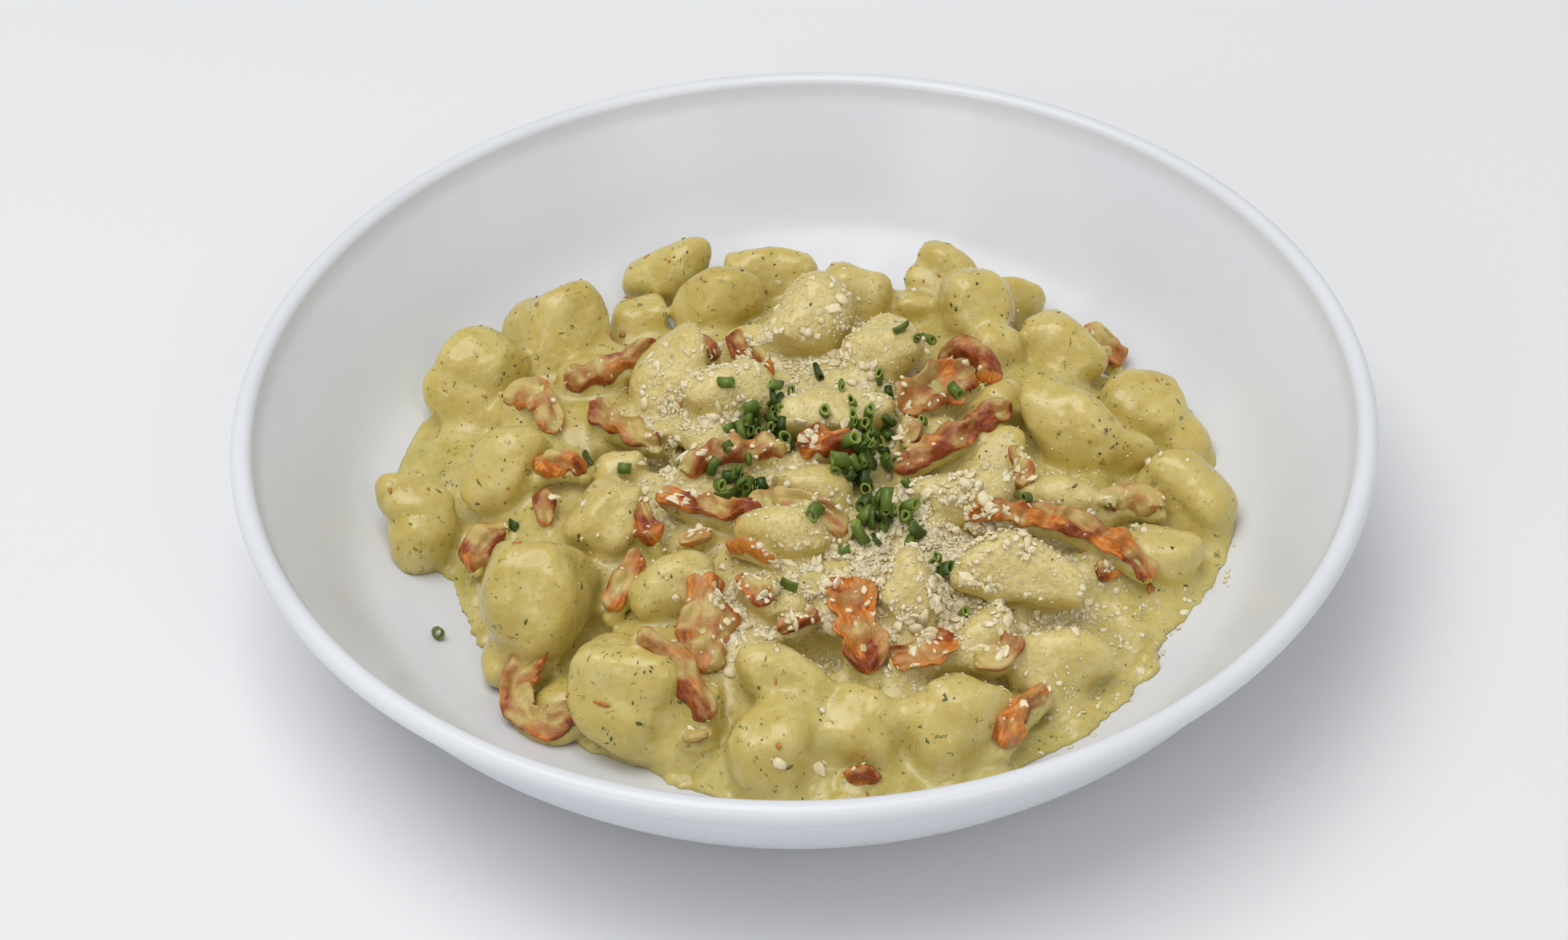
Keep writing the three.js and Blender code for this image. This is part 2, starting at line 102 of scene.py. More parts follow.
# x and y of the middle, heading there, turn over the length, length, width, and the
# heights over the dome at the start, middle and end; then how much cream covers the
# strip and how orange it is, both 0 to 1
STRIPS = [
    # left and back
    (-44, 32, 13, 8, 23, 6, 2, 4, 6, 0.55, 0.2), (-12, 30, -62, 6, 21, 6, 3.5, 3.5, 4, 0.2, 0.5),
    (-21, 38, -79, -36, 10, 3.5, 3, 3.5, 3, 0.1, 0.1), (-41, 12, -44, 22, 23, 5.5, 1, 1, 0.5, 0.6, 0.2),
    (-60, 25, -50, -150, 21, 7, 2, 3, -0.5, 0.65, 0.6), (-54, -2, -6, -103, 13, 5.5, 5, 5, 4.5, 0.2, 0.6),
    (-58, -12, -90, 54, 9, 5, 2.5, 1, -1, 0.35, 0.2),
    (-72, -16, -131, 123, 13, 7.5, -1.5, -3, -7.5, 0.4, 0.3),
    # right
    (31, 18, 34, -5, 22, 9, 2, 3.5, 3, 0.45, 0.5), (41, 32, -48, -144, 20, 6, 1, 4, 3, 0.05, 0.3),
    (34, 2, 37, 15, 34, 6, 1.5, 3, 5, 0.35, 0.3), (24, 3, -108, 0, 7, 5, 5, 3.5, 2, 0.6, 0.3),
    (48, -8, -90, 0, 13, 5, 5, 3, 4.5, 0.55, 0.2), (56, -25, -11, -58, 42, 6, 4.5, 5, 1, 0.2, 0.55),
    (72, -14, 5, -119, 15, 7, 3.5, 3.5, 5, 0.7, 0.5), (66, -31, 30, 0, 9, 4, -4, -4, -4, 0.4, 0.1),
    (73, 51, -45, -28, 12, 7, -1, -3, -4.5, 0.5, 0.4),
    # middle
    (6, -2, -7, 0, 15, 6.5, 2, 4.5, 2.5, 0.1, 0.2), (-16, -2, 10, -37, 25, 6.5, 2.5, 3.5, 2.5, 0.55, 0.2),
    (-21, -20, -23, 17, 25, 5, 4, 3, 4, 0.3, 0.3), (-2, -24, -24, 10, 24, 6, 3, 5.5, 2, 0.8, 0.2),
    (-35, -23, -66, 33, 10, 5.5, 3.5, 2.5, 1.5, 0.25, 0.3), (-12, -34, -31, 0, 12, 3.5, 3, 5, 4, 0.4, 0.9),
    (-24, -27, 27, 0, 8, 3.5, 2, 2, 1.5, 0.5, 0.6), (-11, -45, -52, 22, 11, 6.5, 3.5, 5, 4.5, 0.75, 0.3),
    # front
    (-39, -38, -118, -20, 15, 5.5, 3, 2.5, 0.5, 0.55, 0.5), (-22, -52, -94, 14, 21, 10, 6, 2, -0.5, 0.5, 0.6),
    (10, -53, -82, 12, 24, 10, 2.5, 3, 0, 0.25, 0.8), (-2, -53, 24, 50, 10, 4, 2, 3, 2.5, 0.3, 0.1),
    (24, -59, 22, -11, 15, 7.5, 0, 0.5, 1.5, 0.4, 0.6), (40, -62, 24, 123, 12, 5.5, 3, 3.5, 5, 0.8, 0.2),
    (43, -74, -127, 33, 18, 6, 1, 1.5, 1, 0.35, 0.7), (-62, -62, -69, 211, 33, 6.5, -2, -5, -3, 0.55, 0.35),
    (-27, -67, -43, -52, 21, 6.5, 12, 6, 1, 0.45, 0.3), (10, -86, -8, 0, 8, 4, -2.5, -2.5, -3, 0.2, 0.2),
    (-24, -77, 0, 0, 6, 3, -0.5, -1, -1, 0.6, 0.4),
]

# inner surface of the bowl, radius and height
INNER_WALL = [(0, 7.5), (40, 7.6), (68, 8), (84, 10.2), (95, 14.6), (103, 20.5), (112, 34), (119.9, 46.2)]
OUTER_WALL = [
    (67.5, 3.4), (84, 5.6), (95, 10.2), (104, 16.4), (108, 20.9), (113, 27.5), (118, 36.5), (120.9, 44.6),
]
LIP_MIDDLE = (122.55, 47.55)
LIP_RADIUS = 2.45
FOOT = [
    (0, 3), (30, 3), (57.5, 3), (59, 2.8), (60, 2.2), (60.6, 1), (61.2, 0.25), (62, 0),
    (64.6, 0), (65.3, 0.25), (65.8, 0.9), (66.4, 2.2), (66.9, 3),
]
GLAZED_FROM = 0.9  # height on the foot ring
SKIN_IN_GLAZE = 0.25  # how deep the sauce's skin dips into the glaze, for a clean line

# dark gaps between the gnocchi: x, y, width, length, heading
HOLLOWS = [
    (0, -57, 4.2, 6, 20), (34, -61.5, 3.4, 12, 12), (-37, 6.5, 5, 13, -20), (-26.5, 12, 3.4, 6, 80),
    (-48, -47, 3.4, 7, 60), (-64, -31, 2.6, 6, 70),
]

# edge of the sauce on the bowl, angle and radius
SAUCE_EDGE = [
    (-180, 90), (-163, 80.5), (-145, 81), (-123, 84), (-115, 82), (-107, 87), (-90, 93), (-70, 95),
    (-50, 93), (-41, 91), (-28, 90), (-22, 95), (-12, 98), (0, 97), (12, 96), (20, 95), (32, 86),
    (50, 78), (75, 74), (100, 75), (125, 80), (145, 87), (158, 94), (167, 97), (174, 94), (180, 90),
]

# ------------------------------------------------------------------ camera

CAMERA_AT = (0.0, -479.213, 448.77)
CAMERA_AIM = (-0.00714251, 0.74942525, -0.66205043)
CAMERA_ROLL = math.radians(-2.074)
LENS = 65.21
SENSOR = 36.0


def add_camera():
    aim = Vector(CAMERA_AIM).normalized()
    right = aim.cross(Vector((0, 0, 1))).normalized()
    up = right.cross(aim)
    turned_right = math.cos(CAMERA_ROLL) * right + math.sin(CAMERA_ROLL) * up
    turned_up = -math.sin(CAMERA_ROLL) * right + math.cos(CAMERA_ROLL) * up
    data = bpy.data.cameras.new("camera")
    data.lens = LENS
    data.sensor_width = SENSOR
    data.sensor_fit = "HORIZONTAL"
    data.clip_start = 0.01
    camera = link("camera", data)
    turn = Matrix((turned_right, turned_up, -aim)).transposed().to_4x4()
    camera.matrix_world = Matrix.Translation(Vector(CAMERA_AT) * MM) @ turn
    bpy.context.scene.camera = camera


# ------------------------------------------------------------------ helpers


class Waves:
    """Smooth repeatable noise: a sum of sine waves, about -2 to 2."""

    def __init__(self, seed, wavelength, count=12):
        rng = np.random.default_rng(seed)
        directions = rng.normal(size=(count, 3))
        directions /= np.linalg.norm(directions, axis=1)[:, None]
        lengths = wavelength * rng.uniform(0.7, 1.5, count)
        self.waves = directions * (2 * math.pi / lengths)[:, None]
        self.phases = rng.uniform(0, 2 * math.pi, count)

    def __call__(self, x, y, z):
        total = 0
        for (a, b, c), phase in zip(self.waves, self.phases):
            total = total + np.sin(a * x + b * y + c * z + phase)
        return total * math.sqrt(2 / len(self.phases))


def smooth_step(value, low, high):
    t = np.clip((value - low) / (high - low), 0, 1)
    return t * t * (3 - 2 * t)


def smooth_min(a, b, blend):
    near = np.maximum(blend - np.abs(a - b), 0) / blend
    return np.minimum(a, b) - near * near * blend / 4


def smooth_max(a, b, blend):
    return -smooth_min(-a, -b, blend)


def dome_height(x, y):
    return DOME_HEIGHT - DOME_DROP * (np.hypot(x, y) / DOME_RADIUS) ** 2


def eased(points, steps):
    """A smooth curve through points, as an array of steps per span."""
    pts = np.array(points, float)
    pts = np.vstack([2 * pts[0] - pts[1], pts, 2 * pts[-1] - pts[-2]])
    out = []
    for a, b, c, d in zip(pts, pts[1:], pts[2:], pts[3:]):
        for t in np.arange(steps) / steps:
            curve = (c - a) * t + (2 * a - 5 * b + 4 * c - d) * t**2 + (3 * b - a - 3 * c + d) * t**3
            out.append(0.5 * (2 * b + curve))
    out.append(pts[-2])
    return np.array(out)


INNER_CURVE = eased(INNER_WALL, 8)
EDGE_CURVE = eased(SAUCE_EDGE, 6)


def inner_height(radius):
    return np.interp(radius, INNER_CURVE[:, 0], INNER_CURVE[:, 1])


def link(name, data):
    """Puts a mesh, a light or the camera into the scene."""
    item = bpy.data.objects.new(name, data)
    bpy.context.scene.collection.objects.link(item)
    return item


def make_mesh(name, points, faces, materials, smooth=True, attributes=None, face_materials=None):
    """A mesh piece from points in mm and faces of one size or mixed."""
    mesh = bpy.data.meshes.new(name)
    if isinstance(faces, np.ndarray):
        count, corners = faces.shape
        mesh.vertices.add(len(points))
        mesh.vertices.foreach_set("co", (np.asarray(points, float) * MM).ravel())
        mesh.loops.add(count * corners)
        mesh.loops.foreach_set("vertex_index", faces.ravel().astype(np.int32))
        mesh.polygons.add(count)
        mesh.polygons.foreach_set("loop_start", np.arange(0, count * corners, corners, dtype=np.int32))
        mesh.update(calc_edges=True)
    else:
        mesh.from_pydata([tuple(p) for p in np.asarray(points, float) * MM], [], faces)
    mesh.polygons.foreach_set("use_smooth", np.broadcast_to(smooth, len(mesh.polygons)).astype(bool))
    for attribute, values in (attributes or {}).items():
        values = np.asarray(values, np.float32)
        kind = "FLOAT" if values.ndim == 1 else "FLOAT_VECTOR"
        layer = mesh.attributes.new(attribute, kind, "POINT")
        layer.data.foreach_set("value" if kind == "FLOAT" else "vector", values.ravel())
    for material in materials:
        mesh.materials.append(material)
    if face_materials is not None:
        mesh.polygons.foreach_set("material_index", np.asarray(face_materials, np.int32))
    mesh.update()
    return link(name, mesh)


def joined(parts):
    """Points and faces of many small meshes as one."""
    points, faces, start = [], [], 0
    for part_points, part_faces in parts:
        points.append(part_points)
        faces.append(part_faces + start)
        start += len(part_points)
    return np.vstack(points), np.vstack(faces)


def values_of(items, name, width=3):
    """One property of all of a mesh's points or faces, as rows."""
    values = np.empty(len(items) * width)
    items.foreach_get(name, values)
    return values.reshape(-1, width)


def rotation_to(normal, spin):
    """A 3x3 whose z axis is the normal, turned about it by spin."""
    normal = np.asarray(normal, float)
    normal = normal / np.linalg.norm(normal)
    helper = np.array([1.0, 0, 0]) if abs(normal[0]) < 0.8 else np.array([0, 1.0, 0])
    a = np.cross(normal, helper)
    a /= np.linalg.norm(a)
    b = np.cross(normal, a)
    c, s = math.cos(spin), math.sin(spin)
    return np.column_stack([c * a + s * b, c * b - s * a, normal])


# ------------------------------------------------------------------ materials


class Shader:
    """Builds a node tree in a few calls. A value is a number, a colour or (node, output)."""

    def __init__(self, name):
        self.material = bpy.data.materials.new(name)
        self.material.use_nodes = True
        self.tree = self.material.node_tree
        self.tree.nodes.clear()
        self.surface = self.node("BsdfPrincipled")
        self.feed(self.node("OutputMaterial"), "Surface", (self.surface, "BSDF"))

    def node(self, kind, settings=None, **inputs):
        node = self.tree.nodes.new("ShaderNode" + kind)
        for key, value in (settings or {}).items():
            setattr(node, key, value)
        for key, value in inputs.items():
            self.feed(node, key.replace("_", " "), value)
        return node

    def feed(self, node, socket, value):
        target = node.inputs[socket]
        if isinstance(value, tuple) and isinstance(value[0], bpy.types.Node):
            self.tree.links.new(value[0].outputs[value[1]], target)
        elif isinstance(value, tuple) and target.type == "RGBA":
            target.default_value = (*value, 1)
        else:
            target.default_value = value

    def position(self):
        return self.node("TexCoord"), "Object"

    def attribute(self, name, output="Fac"):
        return self.node("Attribute", {"attribute_name": name}), output

    def noise(self, scale, detail=3.0, rough=0.5, vector=None, distort=0.0):
        node = self.node("TexNoise", Scale=scale, Detail=detail, Roughness=rough, Distortion=distort)
        self.feed(node, "Vector", vector or self.position())
        return node, "Fac"

    def math(self, operation, a, b):
        node = self.node("Math", {"operation": operation})
        self.feed(node, 0, a)
        self.feed(node, 1, b)
        return node, "Value"

    def times(self, a, b):
        return self.math("MULTIPLY", a, b)

    def plus(self, a, b):
        return self.math("ADD", a, b)

    def ramp(self, value, low, high, to_low=0.0, to_high=1.0, kind="SMOOTHSTEP"):
        node = self.node("MapRange", {"interpolation_type": kind}, Value=value, From_Min=low, From_Max=high)
        self.feed(node, "To Min", to_low)
        self.feed(node, "To Max", to_high)
        return node, "Result"

    def between(self, noise, low, high):
        """A noise spread evenly from low to high."""
        return self.ramp(noise, 0.3, 0.7, low, high, "LINEAR")

    def mix(self, factor, a, b):
        """A mix of colours, by index because colours and numbers share the sockets' names."""
        node = self.node("Mix", {"data_type": "RGBA"})
        for socket, value in ((0, factor), (6, a), (7, b)):
            self.feed(node, socket, value)
        return node, 2

    def bump(self, height, distance, strength=1.0, normal=None):
        node = self.node("Bump", Strength=strength, Distance=distance, Height=height)
        if normal:
            self.feed(node, "Normal", normal)
        return node, "Normal"

    def specks(self, scale, size, share, place):
        """0 to 1 mask of scattered specks: size and share of the cells of a Voronoi grid."""
        cells = self.node("TexVoronoi", Scale=scale, Vector=place)
        near = self.ramp((cells, "Distance"), size, size * 0.6)
        split = self.node("SeparateColor", Color=(cells, "Color"))
        return self.times(near, self.ramp((split, "Red"), 1 - share, 1 - share + 0.02))

    def warped(self, scale, amount):
        """Object position, pushed about by noise so that specks aren't round."""
        noise = self.node("TexNoise", Scale=scale, Detail=2.0, Vector=self.position())
        push = self.node("VectorMath", {"operation": "MULTIPLY_ADD"})
        for socket, value in enumerate(((noise, "Color"), (amount, amount, amount), self.position())):
            self.feed(push, socket, value)
        return push, "Vector"

    def translucent(self, weight, radius, scale):
        """Light that enters the surface: its share, its reach for each colour, and their scale."""
        self.feed(self.surface, "Subsurface Weight", weight)
        self.feed(self.surface, "Subsurface Radius", radius)
        self.feed(self.surface, "Subsurface Scale", scale)

    def coat(self, weight, rough):
        self.feed(self.surface, "Coat Weight", weight)
        self.feed(self.surface, "Coat Roughness", rough)

    def finish(self, colour, rough, normal):
        for socket, value in (("Base Color", colour), ("Roughness", rough), ("Normal", normal)):
            self.feed(self.surface, socket, value)
        return self.material


def srgb(*colour):
    """Linear colour of an 8-bit display colour."""
    parts = (part / 255 for part in colour)
    return tuple(c / 12.92 if c <= 0.04045 else ((c + 0.055) / 1.055) ** 2.4 for c in parts)


def sauce_material():
    """Potato dough under a creamy basil sauce, with grated cheese where it is dusted."""
    s = Shader("sauced_gnocchi")
    body, tint, dust = (s.attribute(name) for name in ("body", "tint", "dust"))
    broad = s.ramp(s.noise(75, 3), 0.38, 0.62)
    mottle = s.ramp(s.noise(330, 4, 0.65), 0.38, 0.7)
    clouds = s.ramp(s.noise(150, 3, 0.6, distort=0.6), 0.42, 0.68)
    grated = s.ramp(s.noise(900, 2, 0.5), 0.45, 0.6)
    ragged = s.warped(1500, 0.0022)
    stretched = s.warped(700, 0.005)

    sauce = s.mix(broad, srgb(184, 168, 80), srgb(196, 179, 96))
    dough = s.mix(broad, srgb(190, 168, 75), srgb(202, 180, 94))
    colour = s.mix(body, sauce, dough)
    for mask, share, shade in (
        (tint, 0.6, srgb(199, 180, 95)),
        (mottle, 0.32, srgb(211, 197, 129)),
        (clouds, 0.5, srgb(214, 200, 136)),
        (s.specks(560, 0.24, 0.5, ragged), 0.35, srgb(134, 130, 56)),
        (s.specks(330, 0.2, 0.8, stretched), 0.6, srgb(116, 120, 52)),
        (s.specks(210, 0.15, 0.85, stretched), 0.75, srgb(88, 96, 46)),
        (s.specks(95, 0.07, 0.35, stretched), 0.6, srgb(206, 130, 62)),
        (s.plus(s.times(grated, 0.4), 0.45), dust, srgb(228, 211, 150)),
    ):
        colour = s.mix(s.times(mask, share), colour, shade)

    s.translucent(0.5, (1.0, 0.75, 0.32), 0.0028)
    s.coat(0.45, 0.15)
    lumps = s.bump(s.noise(420, 3, 0.5), 0.00022)
    granules = s.bump(s.noise(1700, 3, 0.65), 0.00008, 1.0, lumps)
    melted = s.bump(s.times(s.noise(1000, 3, 0.6), dust), 0.0005, 1.0, granules)
    return s.finish(colour, s.between(s.noise(420, 2), 0.28, 0.46), melted)


def tomato_material():
    """Wrinkled sun-dried tomato under a thin, uneven film of the sauce."""
    s = Shader("sun_dried_tomato")
    cream, orange = s.attribute("cream"), s.attribute("orange")
    along = s.node("Mapping", {"vector_type": "POINT"}, Scale=(0.4, 1.0, 1.0))
    s.feed(along, "Vector", s.attribute("strip_place", "Vector"))
    fibres = s.noise(1300, 4, 0.65, (along, "Vector"), 0.3)
    patches = s.noise(330, 4, 0.6)
    spread = s.noise(240, 3, 0.6, distort=0.3)
    grain = s.noise(1700, 3, 0.65)

    streaks = s.ramp(fibres, 0.36, 0.66)
    red = s.mix(streaks, srgb(114, 43, 4), srgb(164, 78, 18))
    warm = s.mix(streaks, srgb(190, 98, 26), srgb(220, 148, 54))
    colour = s.mix(s.ramp(s.plus(s.times(orange, 0.8), spread), 0.78, 1.08), red, warm)

    uneven = s.times(s.math("SUBTRACT", patches, 0.5), 1.1)
    thin = s.times(s.math("SUBTRACT", grain, 0.5), 0.35)
    film = s.plus(s.plus(cream, uneven), thin)
    flecks = s.times(s.specks(300, 0.16, 0.5, s.warped(700, 0.005)), cream)
    colour = s.mix(s.ramp(film, 0.2, 0.54, 0.0, 0.86), colour, srgb(180, 130, 72))
    colour = s.mix(s.ramp(film, 0.48, 0.92, 0.0, 0.92), colour, srgb(200, 178, 108))
    colour = s.mix(s.times(flecks, 0.7), colour, srgb(104, 104, 56))

    s.translucent(0.08, (1.0, 0.7, 0.5), 0.0006)
    s.coat(0.12, 0.18)
    wrinkles = s.bump(grain, 0.00008, 1.0, s.bump(fibres, 0.00022))
    return s.finish(colour, s.between(grain, 0.42, 0.6), wrinkles)


def chive_material(name, light, dark, rough):
    s = Shader(name)
    fibres = s.noise(700, 2, 0.5)
    shade = s.plus(s.times(s.attribute("tone"), 0.6), s.times(fibres, 0.4))
    s.translucent(0.06, (0.6, 1.0, 0.6), 0.0006)
    colour = s.mix(s.ramp(shade, 0.2, 0.8), dark, light)
    return s.finish(colour, s.between(fibres, rough, rough + 0.12), s.bump(fibres, 0.0001, 0.6))


def cheese_material():
    s = Shader("grated_cheese")
    tone = s.noise(450, 3, 0.6)
    s.translucent(0.5, (0.85, 0.9, 1.0), 0.0007)
    colour = s.mix(s.ramp(tone, 0.3, 0.7), srgb(228, 213, 168), srgb(240, 230, 197))
    return s.finish(colour, s.between(tone, 0.55, 0.75), s.bump(s.noise(3000, 2, 0.6), 0.00008, 0.6))


def herb_material():
    s = Shader("chopped_basil")
    tone = s.noise(600, 3, 0.6)
    colour = s.mix(s.ramp(tone, 0.3, 0.7), srgb(66, 76, 34), srgb(118, 122, 58))
    return s.finish(colour, s.between(tone, 0.35, 0.5), s.bump(tone, 0.00008, 0.5))


def porcelain_material():
    s = Shader("glazed_porcelain")
    s.feed(s.surface, "Specular IOR Level", 0.42)
    colour = s.mix(s.ramp(s.noise(18, 2), 0.35, 0.65), srgb(220, 223, 230), srgb(224, 227, 233))
    return s.finish(colour, s.between(s.noise(60, 2), 0.26, 0.32), s.bump(s.noise(45, 2), 0.00012, 0.35))


def bisque_material():
    """The unglazed standing edge of the foot ring."""
    s = Shader("unglazed_foot")
    grain = s.noise(2500, 3, 0.6)
    colour = s.mix(s.ramp(grain, 0.3, 0.7), srgb(214, 210, 202), srgb(228, 225, 218))
    return s.finish(colour, s.between(grain, 0.7, 0.9), s.bump(grain, 0.0001, 0.6))


# ------------------------------------------------------------------ bowl


def make_bowl():
    """The bowl as a fine lathed skin over the CAD's own profile."""
    angles = np.radians(np.arange(-60, 171, 15))
    lip = np.column_stack([np.cos(angles), np.sin(angles)]) * LIP_RADIUS + LIP_MIDDLE
    profile = np.vstack([FOOT, eased(OUTER_WALL, 5), lip, eased(INNER_WALL, 5)[::-1]])
    rings = profile[1:-1]
    turns = BOWL_TURNS
    angle = np.arange(turns) * 2 * math.pi / turns
    radius, height = rings[:, :1], np.repeat(rings[:, 1:], turns, 1)
    points = np.stack([radius * np.cos(angle), radius * np.sin(angle), height], axis=-1).reshape(-1, 3)
    points = np.vstack([points, [[0, 0, profile[0, 1]], [0, 0, profile[-1, 1]]]])

    pairs = [(turn, (turn + 1) % turns) for turn in range(turns)]
    faces, marks = [], []
    for ring in range(len(rings) - 1):
        low, high = ring * turns, (ring + 1) * turns
        faces += [(low + i, low + j, high + j, high + i) for i, j in pairs]
        marks += [int(rings[ring : ring + 2, 1].max() < GLAZED_FROM)] * turns
    under, top = len(points) - 2, len(points) - 1
    last = (len(rings) - 1) * turns
    for i, j in pairs:
        faces += [(under, j, i), (top, last + i, last + j)]
        marks += [0, 0]
    materials = [porcelain_material(), bisque_material()]
    piece = make_mesh("porcelain_bowl", points, faces, materials, face_materials=marks)
    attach(piece, "root")
    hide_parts("bowl")


# ------------------------------------------------------------------ the heap, as signed distances

CLAY_LOW, CLAY_HIGH = (-104, -100, 6), (106, 96, 48)  # corners of the block
SAUCE_SLOPE, BOWL_SLOPE = 0.85, 0.9  # distance for each mm of height, over the sauce and the bowl
BLEND, EDGE_BLEND = 2.2, 1.8  # mm, of a gnocco with the sauce, and more towards the edge
PRESSES = 4  # flat spots on a gnocco
CREASED_SHARE = 0.4
CREASE_WIDTH = 2.4  # mm
SAUCE_LIP_RUN, SAUCE_LIP_RISE = 3.5, 2.2  # mm, of the sauce's rounded edge
DEEPER_RINGS = [(8, 3), (27, 8), (46, 14), (64, 18)]  # radius, count


def grid_value(grid, places):
    """A grid's value at places in steps from its first corner, eased between corners."""
    places = np.clip(places, 0, np.array(grid.shape) - 1.001)
    corner = places.astype(int)
    part = places - corner
    total = 0
    for bits in np.ndindex(*[2] * grid.ndim):
        weight = np.prod(np.where(bits, part, 1 - part), axis=1)
        total = total + weight * grid[tuple((corner + bits).T)]
    return total


class Clay:
    """A block of signed distances in mm, negative inside the material."""

    def __init__(self, low, high, step):
        self.axes = [np.arange(a, b + step, step) for a, b in zip(low, high)]
        self.step = step

    def above(self, surface):
        """How far each grid point lies over surface(x, y)."""
        x, y = np.meshgrid(*self.axes[:2], indexing="ij")
        return self.axes[2][None, None, :] - surface(x, y)[:, :, None]

    def window(self, low, high):
        """The part of the grid between two corners: its slices, and x, y and z there."""
        cut = tuple(
            slice(max(int(np.searchsorted(axis, a)) - 1, 0), int(np.searchsorted(axis, b)) + 1)
            for axis, a, b in zip(self.axes, low, high)
        )
        return cut, np.meshgrid(*(axis[c] for axis, c in zip(self.axes, cut)), indexing="ij")

    def shape(self, centre, reach, distance, blend, sign=1):
        """Adds a form to the clay, or with the sign -1 takes it out."""
        cut, (x, y, z) = self.window(centre - reach, centre + reach)
        if self.field[cut].size:
            self.field[cut] = sign * smooth_min(sign * self.field[cut], distance(x, y, z), blend)

    def value_at(self, points):
        return grid_value(self.field, (points - [axis[0] for axis in self.axes]) / self.step)

    def normal_at(self, points):
        """Unit directions in which the distance grows."""
        nudges = np.eye(3) * self.step * 0.6
        slope = np.stack([self.value_at(points + n) - self.value_at(points - n) for n in nudges], axis=1)
        return slope / np.maximum(np.linalg.norm(slope, axis=1)[:, None], 1e-9)

    def skin(self):
        """Points and quads of the zero surface: one point in each crossed cell."""
        inside = self.field < 0
        shape = np.array(inside.shape) - 1
        corners = [tuple(slice(o, o + n) for o, n in zip(bits, shape)) for bits in np.ndindex(2, 2, 2)]
        count = sum(inside[corner].astype(np.int8) for corner in corners)
        crossed = (count > 0) & (count < len(corners))
        number = np.full(shape, -1)
        number[crossed] = np.arange(crossed.sum())
        cells = np.argwhere(crossed)
        total = np.zeros((len(cells), 3))
        weight = np.zeros(len(cells))
        quads = []
        for axis, forward in enumerate(np.eye(3, dtype=int)):
            across = [other for other in range(3) if other != axis]
            u, v = np.eye(3, dtype=int)[across]
            for a, b in np.ndindex(2, 2):
                start = a * u + b * v
                first = self.field[tuple((cells + start).T)]
                second = self.field[tuple((cells + start + forward).T)]
                hit = (first < 0) != (second < 0)
                share = first / np.where(hit, first - second, 1)
                total += np.where(hit[:, None], start + np.outer(np.clip(share, 0, 1), forward), 0)
                weight += hit

            edges = np.argwhere(np.diff(inside, axis=axis))
            edges = edges[np.all((edges[:, across] > 0) & (edges[:, across] < shape[across]), axis=1)]
            around = [number[tuple((edges - s * u - t * v).T)] for s, t in ((0, 0), (1, 0), (1, 1), (0, 1))]
            quad = np.stack(around, axis=1)
            inward = inside[tuple(edges.T)] == (axis == 1)
            quad[inward] = quad[inward][:, ::-1]
            quads.append(quad)
        points = (cells + total / weight[:, None]) * self.step + [axis[0] for axis in self.axes]
        return points, np.vstack(quads)


class Gnocco:
    """A plump pillow of dough, pressed flat here and there, some with a crease."""

    def __init__(self, row, seed, turn=None):
        x, y, lift, length, width, roll = row
        self.middle = np.array([x, y, dome_height(x, y) + lift])
        self.half = np.array([length, width, max(LEAST_DEPTH, 0.85 * width)]) / 2
        rolled = Matrix.Rotation(FACE_TILT, 3, "X") @ Matrix.Rotation(math.radians(roll), 3, "Z")
        self.turn = np.array(rolled) if turn is None else turn
        rng = np.random.default_rng(seed)
        self.squareness = rng.uniform(2.2, 2.9)
        self.taper = rng.uniform(-0.18, 0.18)
        self.bend = rng.uniform(-0.014, 0.014)
        self.presses = []
        for _ in range(PRESSES):
            facing = rng.normal(size=3) + (0, 0, 0.5)
            facing /= np.linalg.norm(facing)
            depth = np.linalg.norm(facing * self.half) * rng.uniform(0.74, 0.9)
            self.presses.append((facing, depth))
        self.crease = rng.normal(size=3) * (1, 0.5, 0.4)
        self.crease /= np.linalg.norm(self.crease)
        self.crease_place = rng.uniform(-0.3, 0.3) * self.half[0]
        self.crease_depth = rng.uniform(0.35, 0.9) if rng.random() < CREASED_SHARE else 0
        self.broad = Waves(seed, 15, 6)
        self.close = Waves(seed + 500, 6.5, 6)
        self.tint = rng.uniform(0, 1)

    def distance(self, x, y, z):
        offset = np.stack([x - self.middle[0], y - self.middle[1], z - self.middle[2]], axis=-1)
        a, b, c = np.moveaxis(offset @ self.turn, -1, 0)
        b = b - self.bend * a * a
        narrow = 1 + self.taper * a / self.half[0]
        power = self.squareness
        scaled = [np.abs(a) / self.half[0], np.abs(b) / (self.half[1] * narrow), np.abs(c) / self.half[2]]
        reach = sum(v**power for v in scaled) ** (1 / power) + 1e-6
        slopes = [(v / reach) ** (power - 1) / h for v, h in zip(scaled, self.half)]
        plain = (reach - 1) / np.sqrt(sum(v * v for v in slopes) + 1e-9)
        plain = np.maximum(plain, -6)
        for facing, depth in self.presses:
            plain = smooth_max(plain, a * facing[0] + b * facing[1] + c * facing[2] - depth, 3.0)
        if self.crease_depth:
            along = a * self.crease[0] + b * self.crease[1] + c * self.crease[2] - self.crease_place
            plain = plain + self.crease_depth * np.exp(-((along / CREASE_WIDTH) ** 2))
        return plain + 0.42 * self.broad(a, b, c) + 0.1 * self.close(a, b, c)


